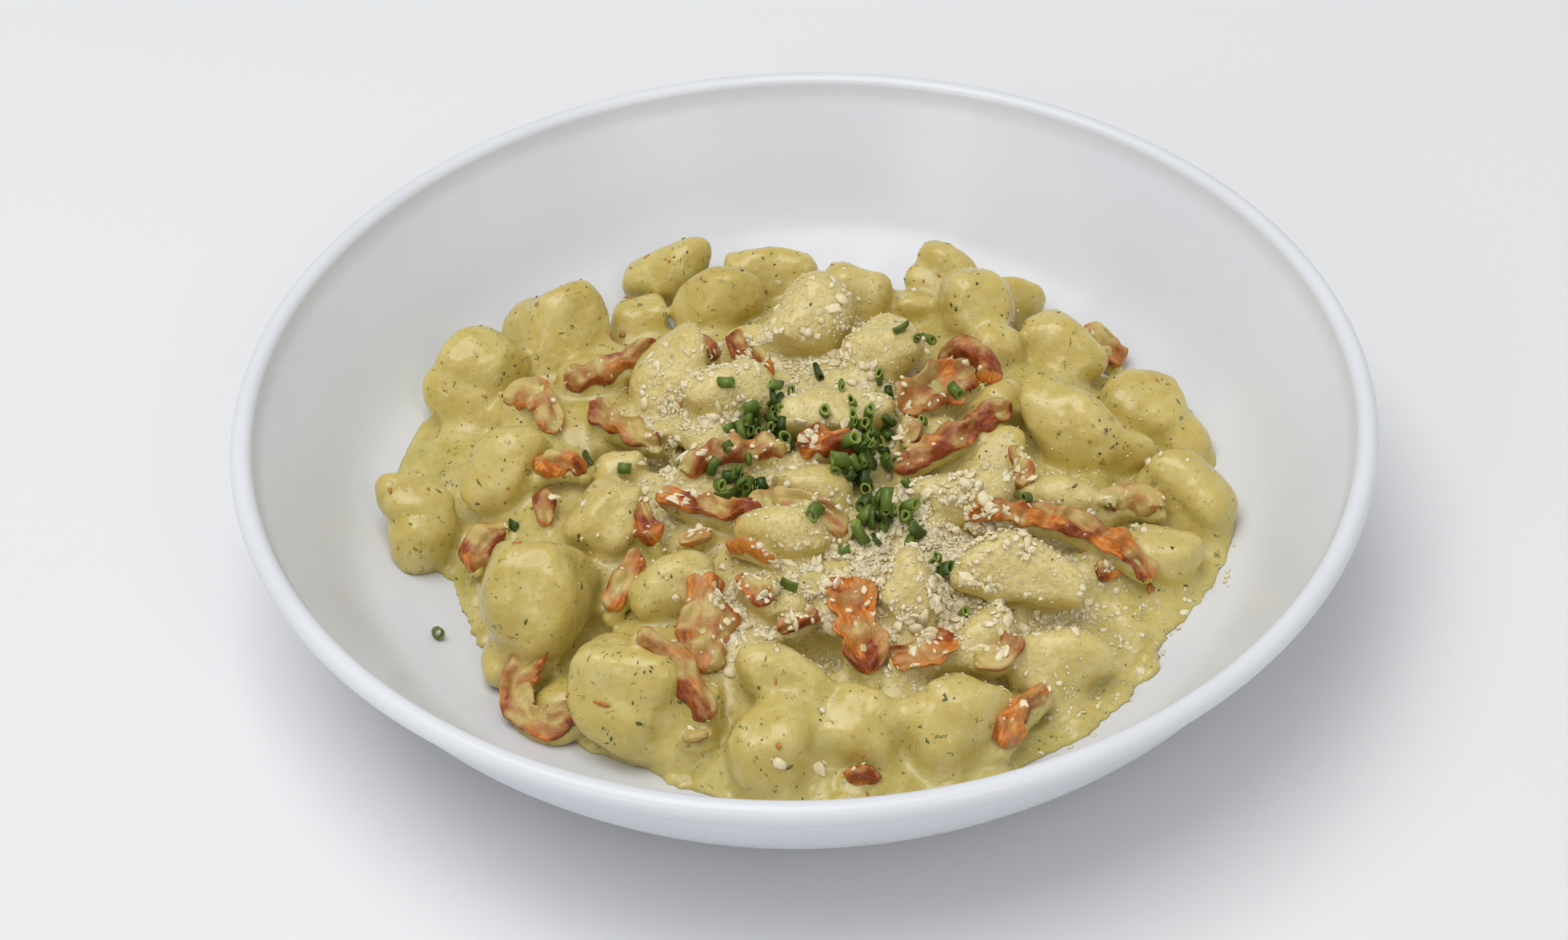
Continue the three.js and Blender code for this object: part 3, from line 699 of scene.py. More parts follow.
class StripLine:
    """The middle line of a strip: an arc in plan whose height follows the dome."""

    def __init__(self, row):
        self.x, self.y = row[0], row[1]
        self.heading = math.radians(row[2])
        self.turn = math.radians(row[3] or 1)
        self.length = row[4]
        self.width = row[5]
        self.lifts = row[6:9]
        self.cream, self.orange = row[9], row[10]

    def at(self, t):
        bend = self.length / self.turn
        angle = self.heading + self.turn * (t - 0.5)
        x = self.x + bend * (np.sin(angle) - math.sin(self.heading))
        y = self.y - bend * (np.cos(angle) - math.cos(self.heading))
        start, middle, end = self.lifts
        lift = middle + (end - start) * (t - 0.5) + 2 * (start + end - 2 * middle) * (t - 0.5) ** 2
        return np.stack([x, y, dome_height(x, y) + lift], axis=-1)


def sauce_height(x, y):
    """Top of the sauce that the gnocchi lie in, from its ragged edge on the bowl."""
    radius = np.hypot(x, y)
    angle = np.degrees(np.arctan2(y, x))
    grainy = 0.3 + 0.25 * smooth_step(np.cos(np.radians(angle + 35)), 0.75, 0.95)
    ragged = 0.9 * Waves(3, 10)(x, y, 0) + grainy * Waves(4, 3.0)(x, y, 0)
    inward = np.interp(angle, EDGE_CURVE[:, 0], EDGE_CURVE[:, 1]) + ragged - radius
    run = np.clip(inward / SAUCE_LIP_RUN, 0, 1)
    lip = SAUCE_LIP_RISE * np.sqrt(np.maximum(1 - (1 - run) ** 2, 0))
    steep = 0.78 - 0.35 * smooth_step(np.cos(np.radians(angle + 38)), 0.7, 0.95)
    film = np.where(inward > 0, lip + steep * np.maximum(inward - 2, 0), inward)
    level = inner_height(radius) + film
    sunk = 3.0 - 0.8 * smooth_step(radius, 30, 75)
    sunk = sunk - 2.4 * np.minimum(cheese_density(x, y), 1)
    ceiling = dome_height(x, y) - sunk + 1.1 * Waves(5, 24)(x, y, 0)
    return smooth_min(level, ceiling, 5)


def cut_gaps(clay, margin, widening, blend):
    """Takes the dark gaps out of the clay, along the dome."""
    for x, y, wide, length, heading in HOLLOWS:
        middle = np.array([x, y, dome_height(x, y) - 5])
        turn = math.radians(heading)
        reach = np.array([math.cos(turn), math.sin(turn), 0]) * length / 2
        form = capsule(middle - reach, middle + reach, wide * widening)
        clay.shape(middle, length / 2 + wide + margin, form, blend, -1)


def deeper_gnocchi():
    """Gnocchi further down, which show in the gaps: rings of them, flat side up."""
    rng = np.random.default_rng(11)
    gnocchi = []
    for ring, (radius, count) in enumerate(DEEPER_RINGS):
        for place in range(count):
            angle = 2 * math.pi * (place + 0.5 * (ring % 2)) / count + rng.uniform(-0.08, 0.08)
            size = (rng.uniform(19, 24), rng.uniform(14, 17))
            row = (radius * math.cos(angle), radius * math.sin(angle), rng.uniform(-8.5, -6.5), *size, 0)
            turn = rotation_to(rng.normal(size=3) * 0.35 + (0, 0, 1), rng.uniform(0, 6.3))
            gnocchi.append(Gnocco(row, 300 + 20 * ring + place, turn))
    return gnocchi


def make_clay(gnocchi):
    """Sauce and gnocchi, blended more where they are drowned at the edge."""
    clay = Clay(CLAY_LOW, CLAY_HIGH, SKIN_STEP)
    clay.field = (clay.above(sauce_height) * SAUCE_SLOPE).astype(np.float32)
    cut_gaps(clay, margin=6, widening=1.3, blend=3)
    for gnocco in [*gnocchi, *deeper_gnocchi()]:
        outer = float(smooth_step(math.hypot(*gnocco.middle[:2]), 40, 75))
        clay.shape(gnocco.middle, gnocco.half.max() + 5, gnocco.distance, BLEND + EDGE_BLEND * outer)
    cut_gaps(clay, margin=4, widening=0.6, blend=1.5)
    return clay


def add_strip_beds(clay):
    """A ridge of cream under each strip, for it to lie on."""
    for row in STRIPS:
        line = StripLine(row)
        points = line.at(np.linspace(0.05, 0.95, max(3, int(line.length / 2.5))))
        radius = 0.26 * line.width + 0.1
        points[:, 2] -= radius + 0.6
        for a, b in zip(points, points[1:]):
            clay.shape((a + b) / 2, radius + 5, capsule(a, b, radius), 2.2)


def add_cream_on_strips(clay, lines):
    """Sauce over each strip in its own form, so that folds show through, and deep where it is creamy."""
    patchy = Waves(17, 7, 10)
    for line in lines:
        source = line.source
        reach = source.length / 2 + source.width + 3
        centre = line.middle[len(line.middle) // 2]
        cut, (x, y, z) = clay.window(centre - reach, centre + reach)
        spots = np.stack([x, y, z], axis=-1)
        gap = np.full(x.shape, 1e9)
        across, above = np.zeros((2, *x.shape))
        for spot, side, face in zip(line.middle, line.side, line.face):
            offset = spots - spot
            distance = np.sum(offset * offset, axis=-1)
            closer = distance < gap
            gap[closer] = distance[closer]
            across[closer] = (offset @ side)[closer]
            above[closer] = (offset @ face)[closer]
        patch = patchy(x, y, z)
        half_width = source.width * (0.42 + 0.08 * source.cream * np.clip(1 + patch, 0, 2))
        share = across / half_width
        along = np.sqrt(np.maximum(gap - across**2 - above**2, 0))
        half_depth = 0.08 + 1.1 * source.cream + 0.25 * patch
        rise = above - line.dish(np.clip(share, -1, 1))
        form = (np.abs(share) ** 3 + np.abs(rise / 1.5) ** 3) ** (1 / 3)
        film = (form - 1) * 1.5 - (half_depth - 1.5) + along
        clay.field[cut] = smooth_min(clay.field[cut], film, 1.3)


def keep_off_bowl(clay):
    """Cuts the clay a hair inside the porcelain."""
    over = clay.above(lambda x, y: inner_height(np.hypot(x, y)) - SKIN_IN_GLAZE)
    clay.field = smooth_max(clay.field, -over * BOWL_SLOPE, 0.1).astype(np.float32)


class TopMap:
    """How high the clay stands over each place."""

    def __init__(self, clay):
        inside = clay.field < 0
        last = inside.shape[2] - 1
        top = last - np.argmax(inside[:, :, ::-1], axis=2)
        i, j = np.indices(top.shape)
        low = clay.field[i, j, top]
        high = clay.field[i, j, np.minimum(top + 1, last)]
        share = np.where(high > low, low / np.minimum(low - high, -1e-6), 0)
        self.map = clay.axes[2][top] + clay.step * np.clip(share, 0, 1)
        self.low = np.array([clay.axes[0][0], clay.axes[1][0]])
        self.step = clay.step

    def smoothed(self, reach):
        """The same map with hills and valleys narrower than the reach ironed out."""
        broad = copy(self)
        steps = int(2 * reach / self.step)
        offsets = np.arange(-steps, steps + 1)
        weights = np.exp(-((offsets * self.step / reach) ** 2) / 2)
        weights /= weights.sum()
        for axis in (0, 1):
            broad.map = sum(w * np.roll(broad.map, int(o), axis) for o, w in zip(offsets, weights))
        return broad

    def __call__(self, x, y):
        return grid_value(self.map, (np.column_stack([x, y]) - self.low) / self.step)


def capsule(a, b, radius):
    axis = b - a
    length = axis @ axis

    def distance(x, y, z):
        offset = [x - a[0], y - a[1], z - a[2]]
        along = np.clip(sum(o * v for o, v in zip(offset, axis)) / length, 0, 1)
        return np.sqrt(sum((o - along * v) ** 2 for o, v in zip(offset, axis))) - radius

    return distance


# drifts of grated cheese: x, y, spread, weight
DRIFTS = [
    (2, 38, 11, 1.0), (-27, 21, 8, 0.7), (-19, 7, 8, 0.7), (-4, -1, 10, 0.7), (10, 4, 9, 0.5),
    (3, -32, 9, 0.9), (14, -36, 9, 1.1), (29, -28, 9, 1.2), (38, -25, 9, 1.2), (42, -40, 9, 0.9),
    (22, -50, 9, 1.0), (33, -45, 8, 0.8), (-16, -49, 8, 0.8), (-31, -2, 8, 0.9), (-42, -20, 8, 0.4),
    (-8, -46, 8, 0.8), (17, -33, 8, 0.8), (-22, -18, 8, 0.5), (-34, 17, 7, 0.6), (22, 12, 8, 0.5),
    (26, -22, 7, 0.8), (45, -10, 12, 0.4), (52, -50, 14, 0.35), (60, -38, 14, 0.3), (18, 30, 9, 0.5),
    (-12, 26, 9, 0.7), (0, -58, 10, 0.4), (32, -62, 12, 0.25), (20, 45, 14, 0.35), (70, -20, 12, 0.2),
]

# crumbs that stuck together: x, y, size
CLUMPS = [
    (-12, 31, 2.0), (-31, -2, 2.2), (-27, -4, 1.4), (40, -27, 1.8), (14, -37, 1.8), (37, -31, 1.4),
    (31, -30, 1.6), (3, 34, 1.3), (-20, 20, 1.2), (22, -30, 1.5), (26, -48, 1.3), (-19, -49, 1.6),
    (-15, -46, 1.2), (10, -30, 1.3), (-36, 15, 1.4), (72, -22, 1.2), (24, 8, 1.2), (46, -38, 1.2),
]

# broad flakes that melted onto the gnocchi in front: x, y
FLAKES = [(-7, -88), (1, -84)]


def cheese_density(x, y):
    total = 0
    for cx, cy, spread, weight in DRIFTS:
        total = total + weight * np.exp(-((x - cx) ** 2 + (y - cy) ** 2) / (2 * spread**2))
    return total


def dough_marks(points, gnocchi):
    """Where the skin is dough, and its tint there."""
    nearest = np.full(len(points), 9.0)
    tint = np.zeros(len(points))
    for gnocco in gnocchi:
        near = np.linalg.norm(points - gnocco.middle, axis=1) < gnocco.half.max() + 3
        gap = gnocco.distance(*points[near].T)
        closer = gap < nearest[near]
        index = np.flatnonzero(near)[closer]
        nearest[index] = gap[closer]
        tint[index] = gnocco.tint
    body = 1 - smooth_step(nearest, 0.0, 1.6)
    return {"body": body, "tint": tint * body}


def make_heap():
    """The skin over sauce and gnocchi; also the strips' settled lines and a smoothed map of its top."""
    gnocchi = [Gnocco(row, 100 + index) for index, row in enumerate(GNOCCHI)]
    clay = make_clay(gnocchi)
    add_strip_beds(clay)
    top = TopMap(clay)
    lines = [settled_line(StripLine(row), strip_seed(index), top) for index, row in enumerate(STRIPS)]
    add_cream_on_strips(clay, lines)
    keep_off_bowl(clay)
    points, faces = clay.skin()
    for _ in range(2):
        points -= clay.normal_at(points) * clay.value_at(points)[:, None] * 0.9
    normals = clay.normal_at(points)
    x, y, z = points.T
    above = smooth_step(z - inner_height(np.hypot(x, y)), 0.4, 1.6)
    rough = 0.05 * Waves(21, 3.2, 16)(x, y, z) + 0.02 * Waves(22, 1.9, 16)(x, y, z)
    points = points + normals * (rough * above)[:, None]
    dust = np.clip(cheese_density(x, y) * smooth_step(normals[:, 2], -0.1, 0.5), 0, 1)
    marks = {**dough_marks(points, gnocchi), "dust": dust}
    piece = make_mesh("sauced_gnocchi", points, faces, [sauce_material()], attributes=marks)
    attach(piece, "root")
    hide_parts("gnocchi_heap", "sauce")
    return piece, lines, top.smoothed(5.0)


# ------------------------------------------------------------------ resting things on the heap

SKY = 80  # mm, over everything


class Ground:
    """The surfaces that toppings lie on, hit by rays in mm."""

    def __init__(self, pieces):
        points, faces = [], []
        for piece in pieces:
            start = len(points)
            points += [tuple(p) for p in values_of(piece.data.vertices, "co") / MM]
            faces += [[v + start for v in polygon.vertices] for polygon in piece.data.polygons]
        self.tree = BVHTree.FromPolygons(points, faces)

    def below(self, x, y):
        """Height and normal of the highest surface at a place."""
        spot, normal, _, _ = self.tree.ray_cast(Vector((x, y, SKY)), Vector((0, 0, -1)))
        if spot is None:
            return None, None
        return spot.z, np.array(normal if normal.z > 0 else -normal)


# ------------------------------------------------------------------ tomato strips

STRIP_POINTS_ACROSS = 13
STRIP_HALF_THICKNESS = 1.45  # mm, along its middle
STRIP_SPREAD = 1.1  # width at rest over width in the layout
STRIP_REST = 0.9  # mm, from what is under a strip to its middle
MOST_SUNK, MOST_LIFTED = 1.5, 2.5  # mm, from the layout to rest


def strip_seed(index):
    return 1000 + 10 * index


class SettledLine:
    """A strip's middle line after it has come to rest, with its frame of directions."""

    def __init__(self, source, middle, width):
        self.source = source
        self.middle = middle
        self.width = width
        forward = np.gradient(middle, axis=0)
        forward /= np.linalg.norm(forward, axis=1)[:, None]
        up = np.array([0, -math.sin(STRIP_LEAN), math.cos(STRIP_LEAN)])
        side = np.cross(forward, up)
        self.side = side / np.linalg.norm(side, axis=1)[:, None]
        self.face = np.cross(self.side, forward)

    def curl(self, seed):
        """Twists the frame along the strip, and draws how its edges rise or fall."""
        rng = np.random.default_rng(seed)
        t = np.linspace(0, 1, len(self.middle))[:, None]
        twist = np.radians(rng.uniform(-16, 16)) * (2 * t - 1) + np.radians(rng.uniform(-12, 12))
        cos, sin = np.cos(twist), np.sin(twist)
        self.side, self.face = cos * self.side + sin * self.face, cos * self.face - sin * self.side
        self.cup = rng.uniform(-0.3, -0.08) if rng.random() < 0.5 else rng.uniform(0.1, 0.3)
        self.flap = rng.uniform(-0.3, 0.3)
        self.flap_side = rng.choice([-1, 1])

    def dish(self, across):
        """How far the strip's face rises in mm, from -1 to 1 across it."""
        cupped = self.cup * (across**2 - 0.35)
        return (cupped + self.flap * np.clip(across * self.flap_side, 0, 1) ** 2) * self.width


def settled_line(source, seed, top):
    """Lowers or lifts a strip so that it lies on what is under it."""
    count = max(10, int(source.length / STRIP_STEP))
    width = source.width * STRIP_SPREAD
    line = SettledLine(source, source.at(np.linspace(0, 1, count)), width)
    across = [line.middle + line.side * width * share for share in (-0.3, 0, 0.3)]
    left, under, right = (top(*places[:, :2].T) for places in across)
    target = np.maximum(under, 0.5 * (np.maximum(left, right) + under)) + STRIP_REST
    rest = target
    for _ in range(6):
        padded = np.pad(rest, 1, mode="edge")
        rest = np.maximum((padded[:-2] + padded[1:-1] * 2 + padded[2:]) / 4, target - STRIP_REST)
    middle = line.middle.copy()
    middle[:, 2] = np.clip(rest, middle[:, 2] - MOST_SUNK, middle[:, 2] + MOST_LIFTED)
    settled = SettledLine(source, middle, width)
    settled.curl(seed)
    return settled


def strip_mesh(line, seed):
    """A crumpled ribbon about a settled line: points, faces and attributes."""
    source, width, side, face = line.source, line.width, line.side, line.face
    n, m = len(line.middle), STRIP_POINTS_ACROSS
    t = np.linspace(0, 1, n)[:, None]
    v = np.linspace(-1, 1, m)[None, :]
    length = t * source.length

    ends = np.clip(np.minimum(t, 1 - t) * source.length / (0.3 * source.width), 0, 1)
    rounding = np.sqrt(1 - (1 - ends) ** 2) * 0.9 + 0.1 * ends
    taper = 1 - 0.2 * (2 * t - 1) ** 2
    ragged, jagged = Waves(seed, 5, 6), Waves(seed + 30, 2.4, 6)
    left, right = (
        (1 + 0.15 * ragged(length, *place) + 0.07 * jagged(length, *place)) * taper * rounding
        for place in ((0, 3), (9, 31))
    )
    reach = np.where(v < 0, left, right) * v * width / 2

    u = v * width * 0.5
    fold = np.maximum(Waves(seed + 60, 5.0, 8)(length, u, 0), -1.1)
    ridge = Waves(seed + 90, 2.3, 10)(length * 0.3, u, 5)
    fine = Waves(seed + 95, 1.3, 10)(length * 0.7, u, 9)
    bare = 1.15 - source.cream
    lift = (line.dish(v) + 0.5 * fold + bare * (0.36 * ridge + 0.2 * fine)) * rounding
    thick = STRIP_HALF_THICKNESS * np.sqrt(np.clip(1 - np.abs(v) ** 3, 0, 1))
    thick = thick * (0.4 + 0.6 * rounding) * (1 + 0.2 * fold)
    base = line.middle[:, None, :] + side[:, None, :] * reach[:, :, None]
    top = base + face[:, None, :] * (lift + thick)[:, :, None]
    bottom = base + face[:, None, :] * (lift * 0.7 - thick)[:, :, None]

    x, y, z = np.moveaxis(top, -1, 0)
    front = np.where(side[:, 1] < 0, 1, -1)[:, None] * v
    rim = np.maximum(v**6, (1 - ends) ** 2)
    patch = Waves(seed + 7, 8, 6)(x, y, z)
    creamy = 0.8 * source.cream + 0.2 + 0.2 * patch - 0.2 * front - 0.4 * rim - 0.12 * np.clip(ridge, -1, 2)
    warm = source.orange + 0.2 * rim + 0.3 * Waves(seed + 8, 9, 6)(x, y, z)
    place = np.stack([np.broadcast_to(length, (n, m)), reach, np.full((n, m), float(seed))], axis=-1)

    def both(values):
        """What the upper side's points and then the lower side's have, which share the rims."""
        trailing = values.shape[2:]
        return np.concatenate([values.reshape(-1, *trailing), values[:, 1:-1].reshape(-1, *trailing)])

    points = np.vstack([top.reshape(-1, 3), bottom[:, 1:-1].reshape(-1, 3)])
    up = np.arange(n * m).reshape(n, m)
    down = up.copy()
    down[:, 1:-1] = np.arange(n * (m - 2)).reshape(n, m - 2) + n * m
    upper = np.stack([up[:-1, :-1], up[:-1, 1:], up[1:, 1:], up[1:, :-1]], axis=-1)
    lower = np.stack([down[:-1, :-1], down[1:, :-1], down[1:, 1:], down[:-1, 1:]], axis=-1)
    faces = np.stack([upper, lower], axis=2).reshape(-1, 4).tolist()
    for i, flip in ((0, False), (n - 1, True)):
        cap = [(up[i, j], down[i, j], down[i, j + 1], up[i, j + 1]) for j in range(1, m - 2)]
        cap += [(up[i, 0], down[i, 1], up[i, 1]), (up[i, -2], down[i, -2], up[i, -1])]
        faces += [[int(corner) for corner in (around[::-1] if flip else around)] for around in cap]
    marks = {"cream": np.clip(both(creamy), 0, 1), "orange": np.clip(both(warm), 0, 1)}
    return points, faces, {**marks, "strip_place": both(place) * MM}


def make_strips(lines):
    material = tomato_material()
    pieces = []
    for index, line in enumerate(lines):
        points, faces, marks = strip_mesh(line, strip_seed(index))
        piece = make_mesh(f"tomato_{index + 1:02d}", points, faces, [material], attributes=marks)
        rounding = piece.modifiers.new("rounding", "SUBSURF")
        rounding.levels = rounding.render_levels = 1
        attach(piece, "root")
        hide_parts(f"tomato_strip_{index + 1:02d}")
        pieces.append(piece)
    return pieces


# ------------------------------------------------------------------ chives

# clusters: x, y, spread, count; and single chives: x, y
CHIVE_CLUSTERS = [
    (-9, 9, 6, 26), (12, -7, 6, 30), (17, -24, 5, 22), (16, 3, 4.5, 11), (-14, -10, 5, 15), (26, -38, 3.5, 5),
]
CHIVE_SINGLES = [
    (-17, 15), (20, 21), (15, 5), (27, 30), (35, 17), (27, 5), (8, -31), (-4, -44), (-9, -57), (-4, -57),
    (-40, -4), (-49, 8), (49, -20), (48, -22), (33, -48), (-65, -13), (30, 46), (23, 31), (4, 28), (9, 13),
    (18, 24), (-28, 5), (-31, 4), (5, 5), (2, -28), (24, -28),
]
CHIVE_GROUND = ((-75, -70), (60, 56))  # corners of the map that chives are laid by
CHIVE_SIDES = 14
CHIVE_RADIUS = (1.05, 1.65)
SHORT_CHIVE, LONG_CHIVE = (1.8, 4.0), (4.0, 5.6)
SHORT_SHARE, UPRIGHT_SHARE = 0.85, 0.22
FALLEN_CHIVE = (2.4, 1.45)  # length and radius


def chive_tube(rng, length, radius):
    """A chopped tube of chive: points, faces and which faces are cut flesh."""
    sides = CHIVE_SIDES
    wall = rng.uniform(0.42, 0.62)
    oval = rng.uniform(0.4, 1.0)
    angle = np.arange(sides) * 2 * math.pi / sides
    slant = rng.uniform(-0.5, 0.5, 2)
    pinch = 1 + 0.06 * np.sin(2 * angle + rng.uniform(0, 6)) + 0.04 * np.sin(3 * angle + rng.uniform(0, 6))
    rings = []
    for hollow, end in ((0, -0.5), (0, 0.0), (0, 0.5), (wall, 0.5), (wall, 0.0), (wall, -0.5)):
        r = (radius - hollow) * pinch
        x = r * np.cos(angle)
        y = r * np.sin(angle) * oval
        slope = slant[0] if end < 0 else slant[1] if end > 0 else 0
        bow = 0.06 * length * (1 - 4 * end * end)
        rings.append(np.column_stack([x, y + bow, end * length + slope * x]))
    number = np.arange(len(rings) * sides).reshape(-1, sides)
    after = np.roll(number, -1, axis=0)
    faces = np.stack([number, np.roll(number, -1, axis=1), np.roll(after, -1, axis=1), after], axis=-1)
    return np.vstack(rings), faces.reshape(-1, 4), np.repeat([0, 0, 1, 1, 1, 1], sides)


class Heights:
    """A map of how high things lie, raised as chives are laid on it."""

    def __init__(self, ground, low, high):
        self.xs, self.ys = (np.arange(a, b, MAP_STEP) for a, b in zip(low, high))
        self.map = np.array([[ground.below(x, y)[0] or 0 for y in self.ys] for x in self.xs])

    def lay(self, x, y, direction, length, radius):
        """Height for a tube's middle, and its tilt; then the tube is added to the map."""
        reaches = [direction * length * share for share in (-0.4, 0, 0.4)]
        start, middle, end = (self.read(x + reach[0], y + reach[1]) for reach in reaches)
        tilt = float(np.clip((end - start) / (0.8 * length), -1.2, 1.2))
        height = max(middle, (start + end) / 2) + radius * 0.75
        gx, gy = np.meshgrid(self.xs - x, self.ys - y, indexing="ij")
        along = gx * direction[0] + gy * direction[1]
        across = -gx * direction[1] + gy * direction[0]
        over = (np.abs(along) < length / 2) & (np.abs(across) < radius)
        roof = height + tilt * along[over] + np.sqrt(radius**2 - across[over] ** 2) * 0.8
        self.map[over] = np.maximum(self.map[over], roof)
        return height, tilt

    def read(self, x, y):
        i, j = (
            int(np.clip((place - axis[0]) / MAP_STEP, 0, len(axis) - 1))
            for place, axis in ((x, self.xs), (y, self.ys))
        )
        return self.map[i, j]


def make_chives(ground):
    """Clusters and single tubes of chive on the heap, and the fallen ring on the bowl."""
    rng = np.random.default_rng(31)
    heights = Heights(ground, *CHIVE_GROUND)
    spots = [
        (x + rng.normal() * spread * 0.62, y + rng.normal() * spread * 0.62)
        for x, y, spread, count in CHIVE_CLUSTERS
        for _ in range(count)
    ]
    parts, marks, tones = [], [], []
    for x, y in spots + CHIVE_SINGLES:
        length = rng.uniform(*(SHORT_CHIVE if rng.random() < SHORT_SHARE else LONG_CHIVE))
        radius = rng.uniform(*CHIVE_RADIUS)
        points, faces, cut = chive_tube(rng, length, radius)
        heading = rng.uniform(0, 2 * math.pi)
        direction = np.array([math.cos(heading), math.sin(heading)])
        height, tilt = heights.lay(x, y, direction, length, radius)
        axis = (*direction, tilt)
        if rng.random() < UPRIGHT_SHARE:
            axis = (rng.normal() * 0.4, -0.5 + rng.normal() * 0.3, 1.0)
            height += 0.3
        turn = rotation_to(axis, rng.uniform(-0.4, 0.4))
        parts.append((points @ turn.T + (x, y, height), faces))
        marks.append(cut)
        tones.append(np.full(len(points), rng.uniform(0, 1)))
    skin = chive_material("chive_skin", srgb(100, 122, 38), srgb(44, 68, 12), 0.34)
    flesh = chive_material("chive_flesh", srgb(140, 158, 64), srgb(80, 106, 32), 0.42)
    tones, marks = {"tone": np.concatenate(tones)}, np.concatenate(marks)
    piece = make_mesh("chopped_chives", *joined(parts), [skin, flesh], attributes=tones, face_materials=marks)
    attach(piece, "root")

    points, faces, cut = chive_tube(rng, *FALLEN_CHIVE)
    low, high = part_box("fallen_chive")
    x, y, _ = (np.array(low) + np.array(high)) / 2 / MM
    middle = (x, y, inner_height(math.hypot(x, y)) + FALLEN_CHIVE[1])
    points = points @ rotation_to((0.35, -0.75, 0.5), 0.4).T + middle
    tones = {"tone": np.full(len(points), 0.5)}
    fallen = make_mesh("chive_on_bowl", points, faces, [skin, flesh], attributes=tones, face_materials=cut)
    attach(fallen, "root")
    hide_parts("fallen_chive")


# ------------------------------------------------------------------ cheese and herbs

CRUMBS, DUST_GRAINS, BASIL_FLECKS, TOMATO_BITS = 6400, 5000, 900, 130
CRUMBS_ON_STRIP, CRUMBS_ON_BOWL = 26, 16
FLAKE_SIZE = 2.0


def icosahedron():
    """Points of a unit icosahedron, and its faces: every three points that are an edge apart."""
    golden = (1 + math.sqrt(5)) / 2
    points = []
    for a in (-1, 1):
        for b in (-golden, golden):
            points += [(0, a, b), (a, b, 0), (b, 0, a)]
    points = np.array(points, float) / math.hypot(1, golden)
    apart = np.linalg.norm(points[:, None] - points[None], axis=-1)
    near = (apart > 0) & (apart < apart[apart > 0].min() * 1.05)
    faces = []
    for i, j, k in combinations(range(len(points)), 3):
        if near[i, j] and near[j, k] and near[i, k]:
            outward = np.dot(np.cross(points[j] - points[i], points[k] - points[i]), points[i]) > 0
            faces.append((i, j, k) if outward else (i, k, j))
    return points, np.array(faces)


def octahedron():
    points = np.array([(1, 0, 0), (-1, 0, 0), (0, 1, 0), (0, -1, 0), (0, 0, 1), (0, 0, -1)], float)
    faces = [(0, 2, 4), (2, 1, 4), (1, 3, 4), (3, 0, 4), (2, 0, 5), (1, 2, 5), (3, 1, 5), (0, 3, 5)]
    return points, np.array(faces)


def scatter(piece, rng, count, weigh):
    """Places on a mesh's faces: points and normals in mm, weighed by weigh(middles, normals)."""
    polygons = piece.data.polygons
    middles, normals = values_of(polygons, "center") / MM, values_of(polygons, "normal")
    areas = values_of(polygons, "area", 1)[:, 0]
    chance = areas * np.maximum(weigh(middles, normals), 0)
    picks = rng.choice(len(polygons), size=count, p=chance / chance.sum())
    jitter = rng.uniform(-1, 1, (count, 3)) * (np.sqrt(areas[picks])[:, None] / MM * 0.5)
    jitter -= normals[picks] * np.sum(jitter * normals[picks], axis=1)[:, None]
    return middles[picks] + jitter, normals[picks]


def crumbs(name, material, rng, shape, places, sizes, stretch, sink=0.0, sharp=0.0, marks=None):
    """Many uneven crumbs of one kind as one piece, a share of them with sharp edges."""
    base, faces = shape
    spots, normals = places
    count = len(spots)
    uneven = rng.uniform(0.5, 1.3, (count, len(base), 1)) * base[None]
    uneven *= sizes[:, None, None] * np.array(stretch) * rng.uniform(0.65, 1.35, (count, 1, 3))
    turns = np.array([rotation_to(n + rng.normal(size=3) * 0.35, rng.uniform(0, 6.3)) for n in normals])
    points = np.einsum("nij,nkj->nki", turns, uneven) + (spots + normals * (sizes * sink)[:, None])[:, None]
    points = points.reshape(-1, 3)
    all_faces = (faces[None] + (np.arange(count) * len(base))[:, None, None]).reshape(-1, 3)
    soft = np.repeat(rng.random(count) >= sharp, len(faces))
    attributes = {key: np.full(len(points), value) for key, value in (marks or {}).items()}
    if marks:
        attributes["strip_place"] = points * MM
    piece = make_mesh(name, points, all_faces, [material], smooth=soft, attributes=attributes)
    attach(piece, "root")


def clump(ground, rng, x, y, size):
    """Places of crumbs that stuck together in a small heap."""
    count = int(9 * size * size)
    xs, ys = rng.normal(size=(2, count)) * 0.42 * size + [[x], [y]]
    spots, normals = [], []
    for u, v in zip(xs, ys):
        height, normal = ground.below(u, v)
        pile = max(0.0, 0.8 * size - 0.9 * math.hypot(u - x, v - y))
        spots.append((u, v, height + rng.uniform(0.1, 1) * pile))
        normals.append(normal)
    return np.array(spots), np.array(normals)


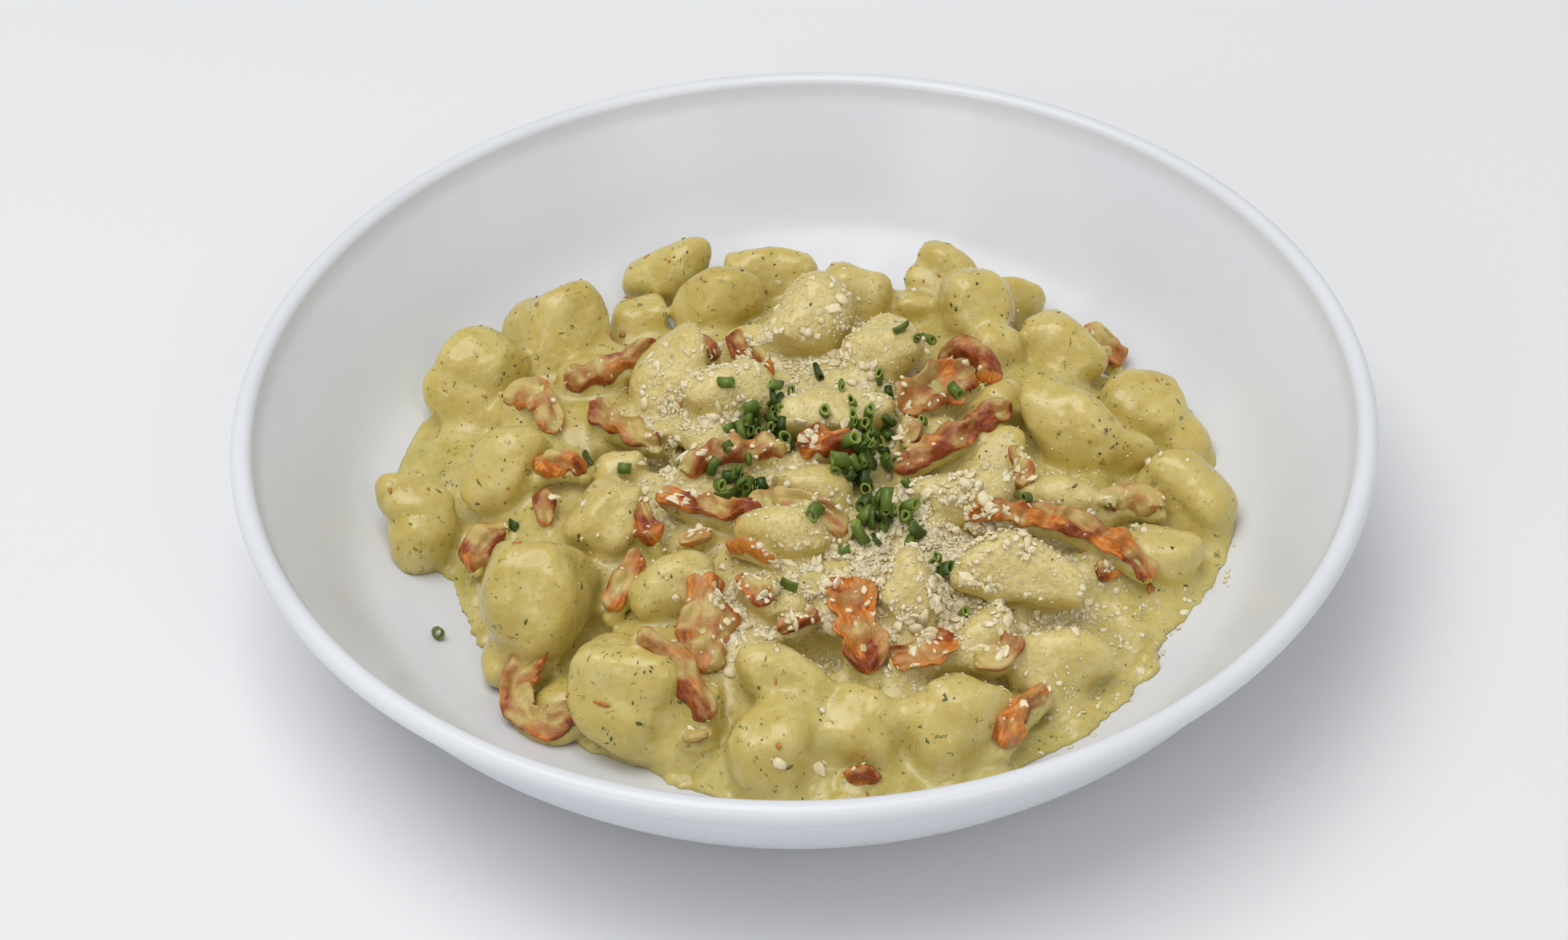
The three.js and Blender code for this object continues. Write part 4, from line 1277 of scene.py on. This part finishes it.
def make_cheese(rng, heap, ground, strips, lines, broad_top):
    """Grated cheese in drifts, clumps and flakes, its dust, and the crumbs on the bare bowl."""
    cheese = cheese_material()
    patches = Waves(71, 7, 10)

    def drifts(middles, normals):
        x, y, z = middles.T
        in_valley = 0.3 + 1.2 * smooth_step(broad_top(x, y) - z, -2.5, 1.5)
        patchy = smooth_step(patches(x, y, z), -1.0, 0.9)
        return smooth_step(normals[:, 2], 0.05, 0.6) * cheese_density(x, y) ** 1.6 * in_valley * patchy

    def dusting(middles, normals):
        x, y, z = middles.T
        near = cheese_density(x, y) * (0.4 + 0.9 * smooth_step(broad_top(x, y) - z, -2.0, 2.5))
        wide = 0.06 * smooth_step(80 - np.hypot(x - 14, y + 14), 0, 40)
        return smooth_step(normals[:, 2], -0.1, 0.5) * (near + wide)

    places = [scatter(heap, rng, int(CRUMBS * CRUMB_SHARE), drifts)]
    for strip, line in zip(strips, lines):
        dusted = min(1, cheese_density(line.source.x, line.source.y))
        places.append(scatter(strip, rng, 2 + int(CRUMBS_ON_STRIP * dusted * CRUMB_SHARE), drifts))
    places += [clump(ground, rng, *row) for row in CLUMPS]
    spots, normals = (np.vstack(part) for part in zip(*places))
    piled = np.clip(cheese_density(*spots.T[:2]) - 0.9, 0, 1) * rng.uniform(0, 0.9, len(spots))
    spots = spots + normals * piled[:, None]
    sizes = np.clip(rng.lognormal(-0.64, 0.46, len(spots)), 0.22, 1.6)
    for x, y in FLAKES:
        height, normal = ground.below(x, y)
        spots, normals = np.vstack([spots, (x, y, height)]), np.vstack([normals, normal])
        sizes = np.append(sizes, FLAKE_SIZE)
    places = (spots, normals)
    stretch = (1.3, 1.0, 0.5)
    crumbs("grated_cheese", cheese, rng, icosahedron(), places, sizes, stretch, sharp=0.6)

    places = scatter(heap, rng, int(DUST_GRAINS * CRUMB_SHARE), dusting)
    sizes = rng.uniform(0.18, 0.4, len(places[0]))
    stretch = (1.2, 1.0, 0.7)
    crumbs("cheese_dust", cheese, rng, octahedron(), places, sizes, stretch, sink=0.3)

    count = CRUMBS_ON_BOWL
    angles = np.radians(rng.uniform(-62, -8, count))
    radii = np.interp(np.degrees(angles), EDGE_CURVE[:, 0], EDGE_CURVE[:, 1]) + rng.normal(size=count) * 0.7
    spots = np.column_stack([radii * np.cos(angles), radii * np.sin(angles), inner_height(radii) + 0.2])
    places = (spots, np.tile([0.0, 0.0, 1.0], (count, 1)))
    sizes = rng.uniform(0.3, 0.7, count)
    stretch = (1.25, 0.95, 0.7)
    crumbs("cheese_on_bowl", cheese, rng, icosahedron(), places, sizes, stretch, sink=0.3)


def make_herbs(rng, heap):
    """Flecks of basil and bits of tomato in the sauce."""

    def on_sauce(middles, normals):
        x, y, z = middles.T
        clear = 1 - 0.75 * np.clip(cheese_density(x, y), 0, 1)
        up = 0.4 + smooth_step(normals[:, 2], -0.2, 0.5)
        return smooth_step(z - inner_height(np.hypot(x, y)), 0.8, 2) * up * clear

    places = scatter(heap, rng, int(BASIL_FLECKS * CRUMB_SHARE), on_sauce)
    sizes = np.clip(rng.lognormal(-1.15, 0.4, len(places[0])), 0.15, 0.7)
    stretch = (1.6, 0.8, 0.22)
    crumbs("basil_flecks", herb_material(), rng, octahedron(), places, sizes, stretch)

    places = scatter(heap, rng, int(TOMATO_BITS * CRUMB_SHARE), on_sauce)
    sizes = np.clip(rng.lognormal(-0.6, 0.35, len(places[0])), 0.3, 1.3)
    tomato = bpy.data.materials["sun_dried_tomato"]
    shape, stretch, marks = icosahedron(), (1.5, 0.8, 0.3), {"cream": 0.35, "orange": 0.8}
    crumbs("tomato_bits", tomato, rng, shape, places, sizes, stretch, sink=0.02, marks=marks)


# ------------------------------------------------------------------ stage

# name, place, size, power, colour; all aim at the origin
LIGHTS = [
    ("overhead", (-0.3, -0.1, 1.5), (1.2, 1.0), 13.7, (1.0, 0.99, 0.97)),
    ("left_window", (-0.9, -1.35, 0.95), (0.4, 0.55), 2.4, (1.0, 0.97, 0.91)),
    ("right_window", (0.7, -1.2, 1.2), (0.35, 0.5), 2.0, (1.0, 0.97, 0.91)),
]
FLOOR_REACH = 4000  # mm


def add_lights():
    for name, at, size, power, colour in LIGHTS:
        data = bpy.data.lights.new(name, "AREA")
        data.shape = "RECTANGLE"
        data.size, data.size_y = size
        data.energy = power
        data.color = colour
        light = link(name, data)
        light.location = at
        light.rotation_euler = (-Vector(at)).to_track_quat("-Z", "Y").to_euler()


def add_stage():
    s = Shader("pale_floor")
    s.feed(s.surface, "Base Color", s.mix(s.noise(3, 2), srgb(230, 231, 233), srgb(233, 234, 236)))
    s.feed(s.surface, "Roughness", 0.9)
    s.feed(s.surface, "Specular IOR Level", 0.1)
    corners = [(x * FLOOR_REACH, y * FLOOR_REACH, 0) for x, y in ((-1, -1), (1, -1), (1, 1), (-1, 1))]
    floor = make_mesh("floor", corners, [(0, 1, 2, 3)], [s.material], smooth=False)
    world = bpy.data.worlds.new("studio")
    world.use_nodes = True
    background = world.node_tree.nodes["Background"].inputs
    background["Color"].default_value = (0.98, 0.985, 1.0, 1)
    background["Strength"].default_value = 0.47
    scene = bpy.context.scene
    scene.world = world
    scene.view_settings.view_transform = "Standard"
    scene.view_settings.look = "None"
    scene.view_settings.exposure = 0


# ------------------------------------------------------------------ assembly

add_camera()
add_lights()
add_stage()
make_bowl()
heap, strip_lines, broad_top = make_heap()
strips = make_strips(strip_lines)
heap_ground = Ground([heap, *strips])
make_chives(heap_ground)
scatter_rng = np.random.default_rng(57)
make_cheese(scatter_rng, heap, heap_ground, strips, strip_lines, broad_top)
make_herbs(scatter_rng, heap)
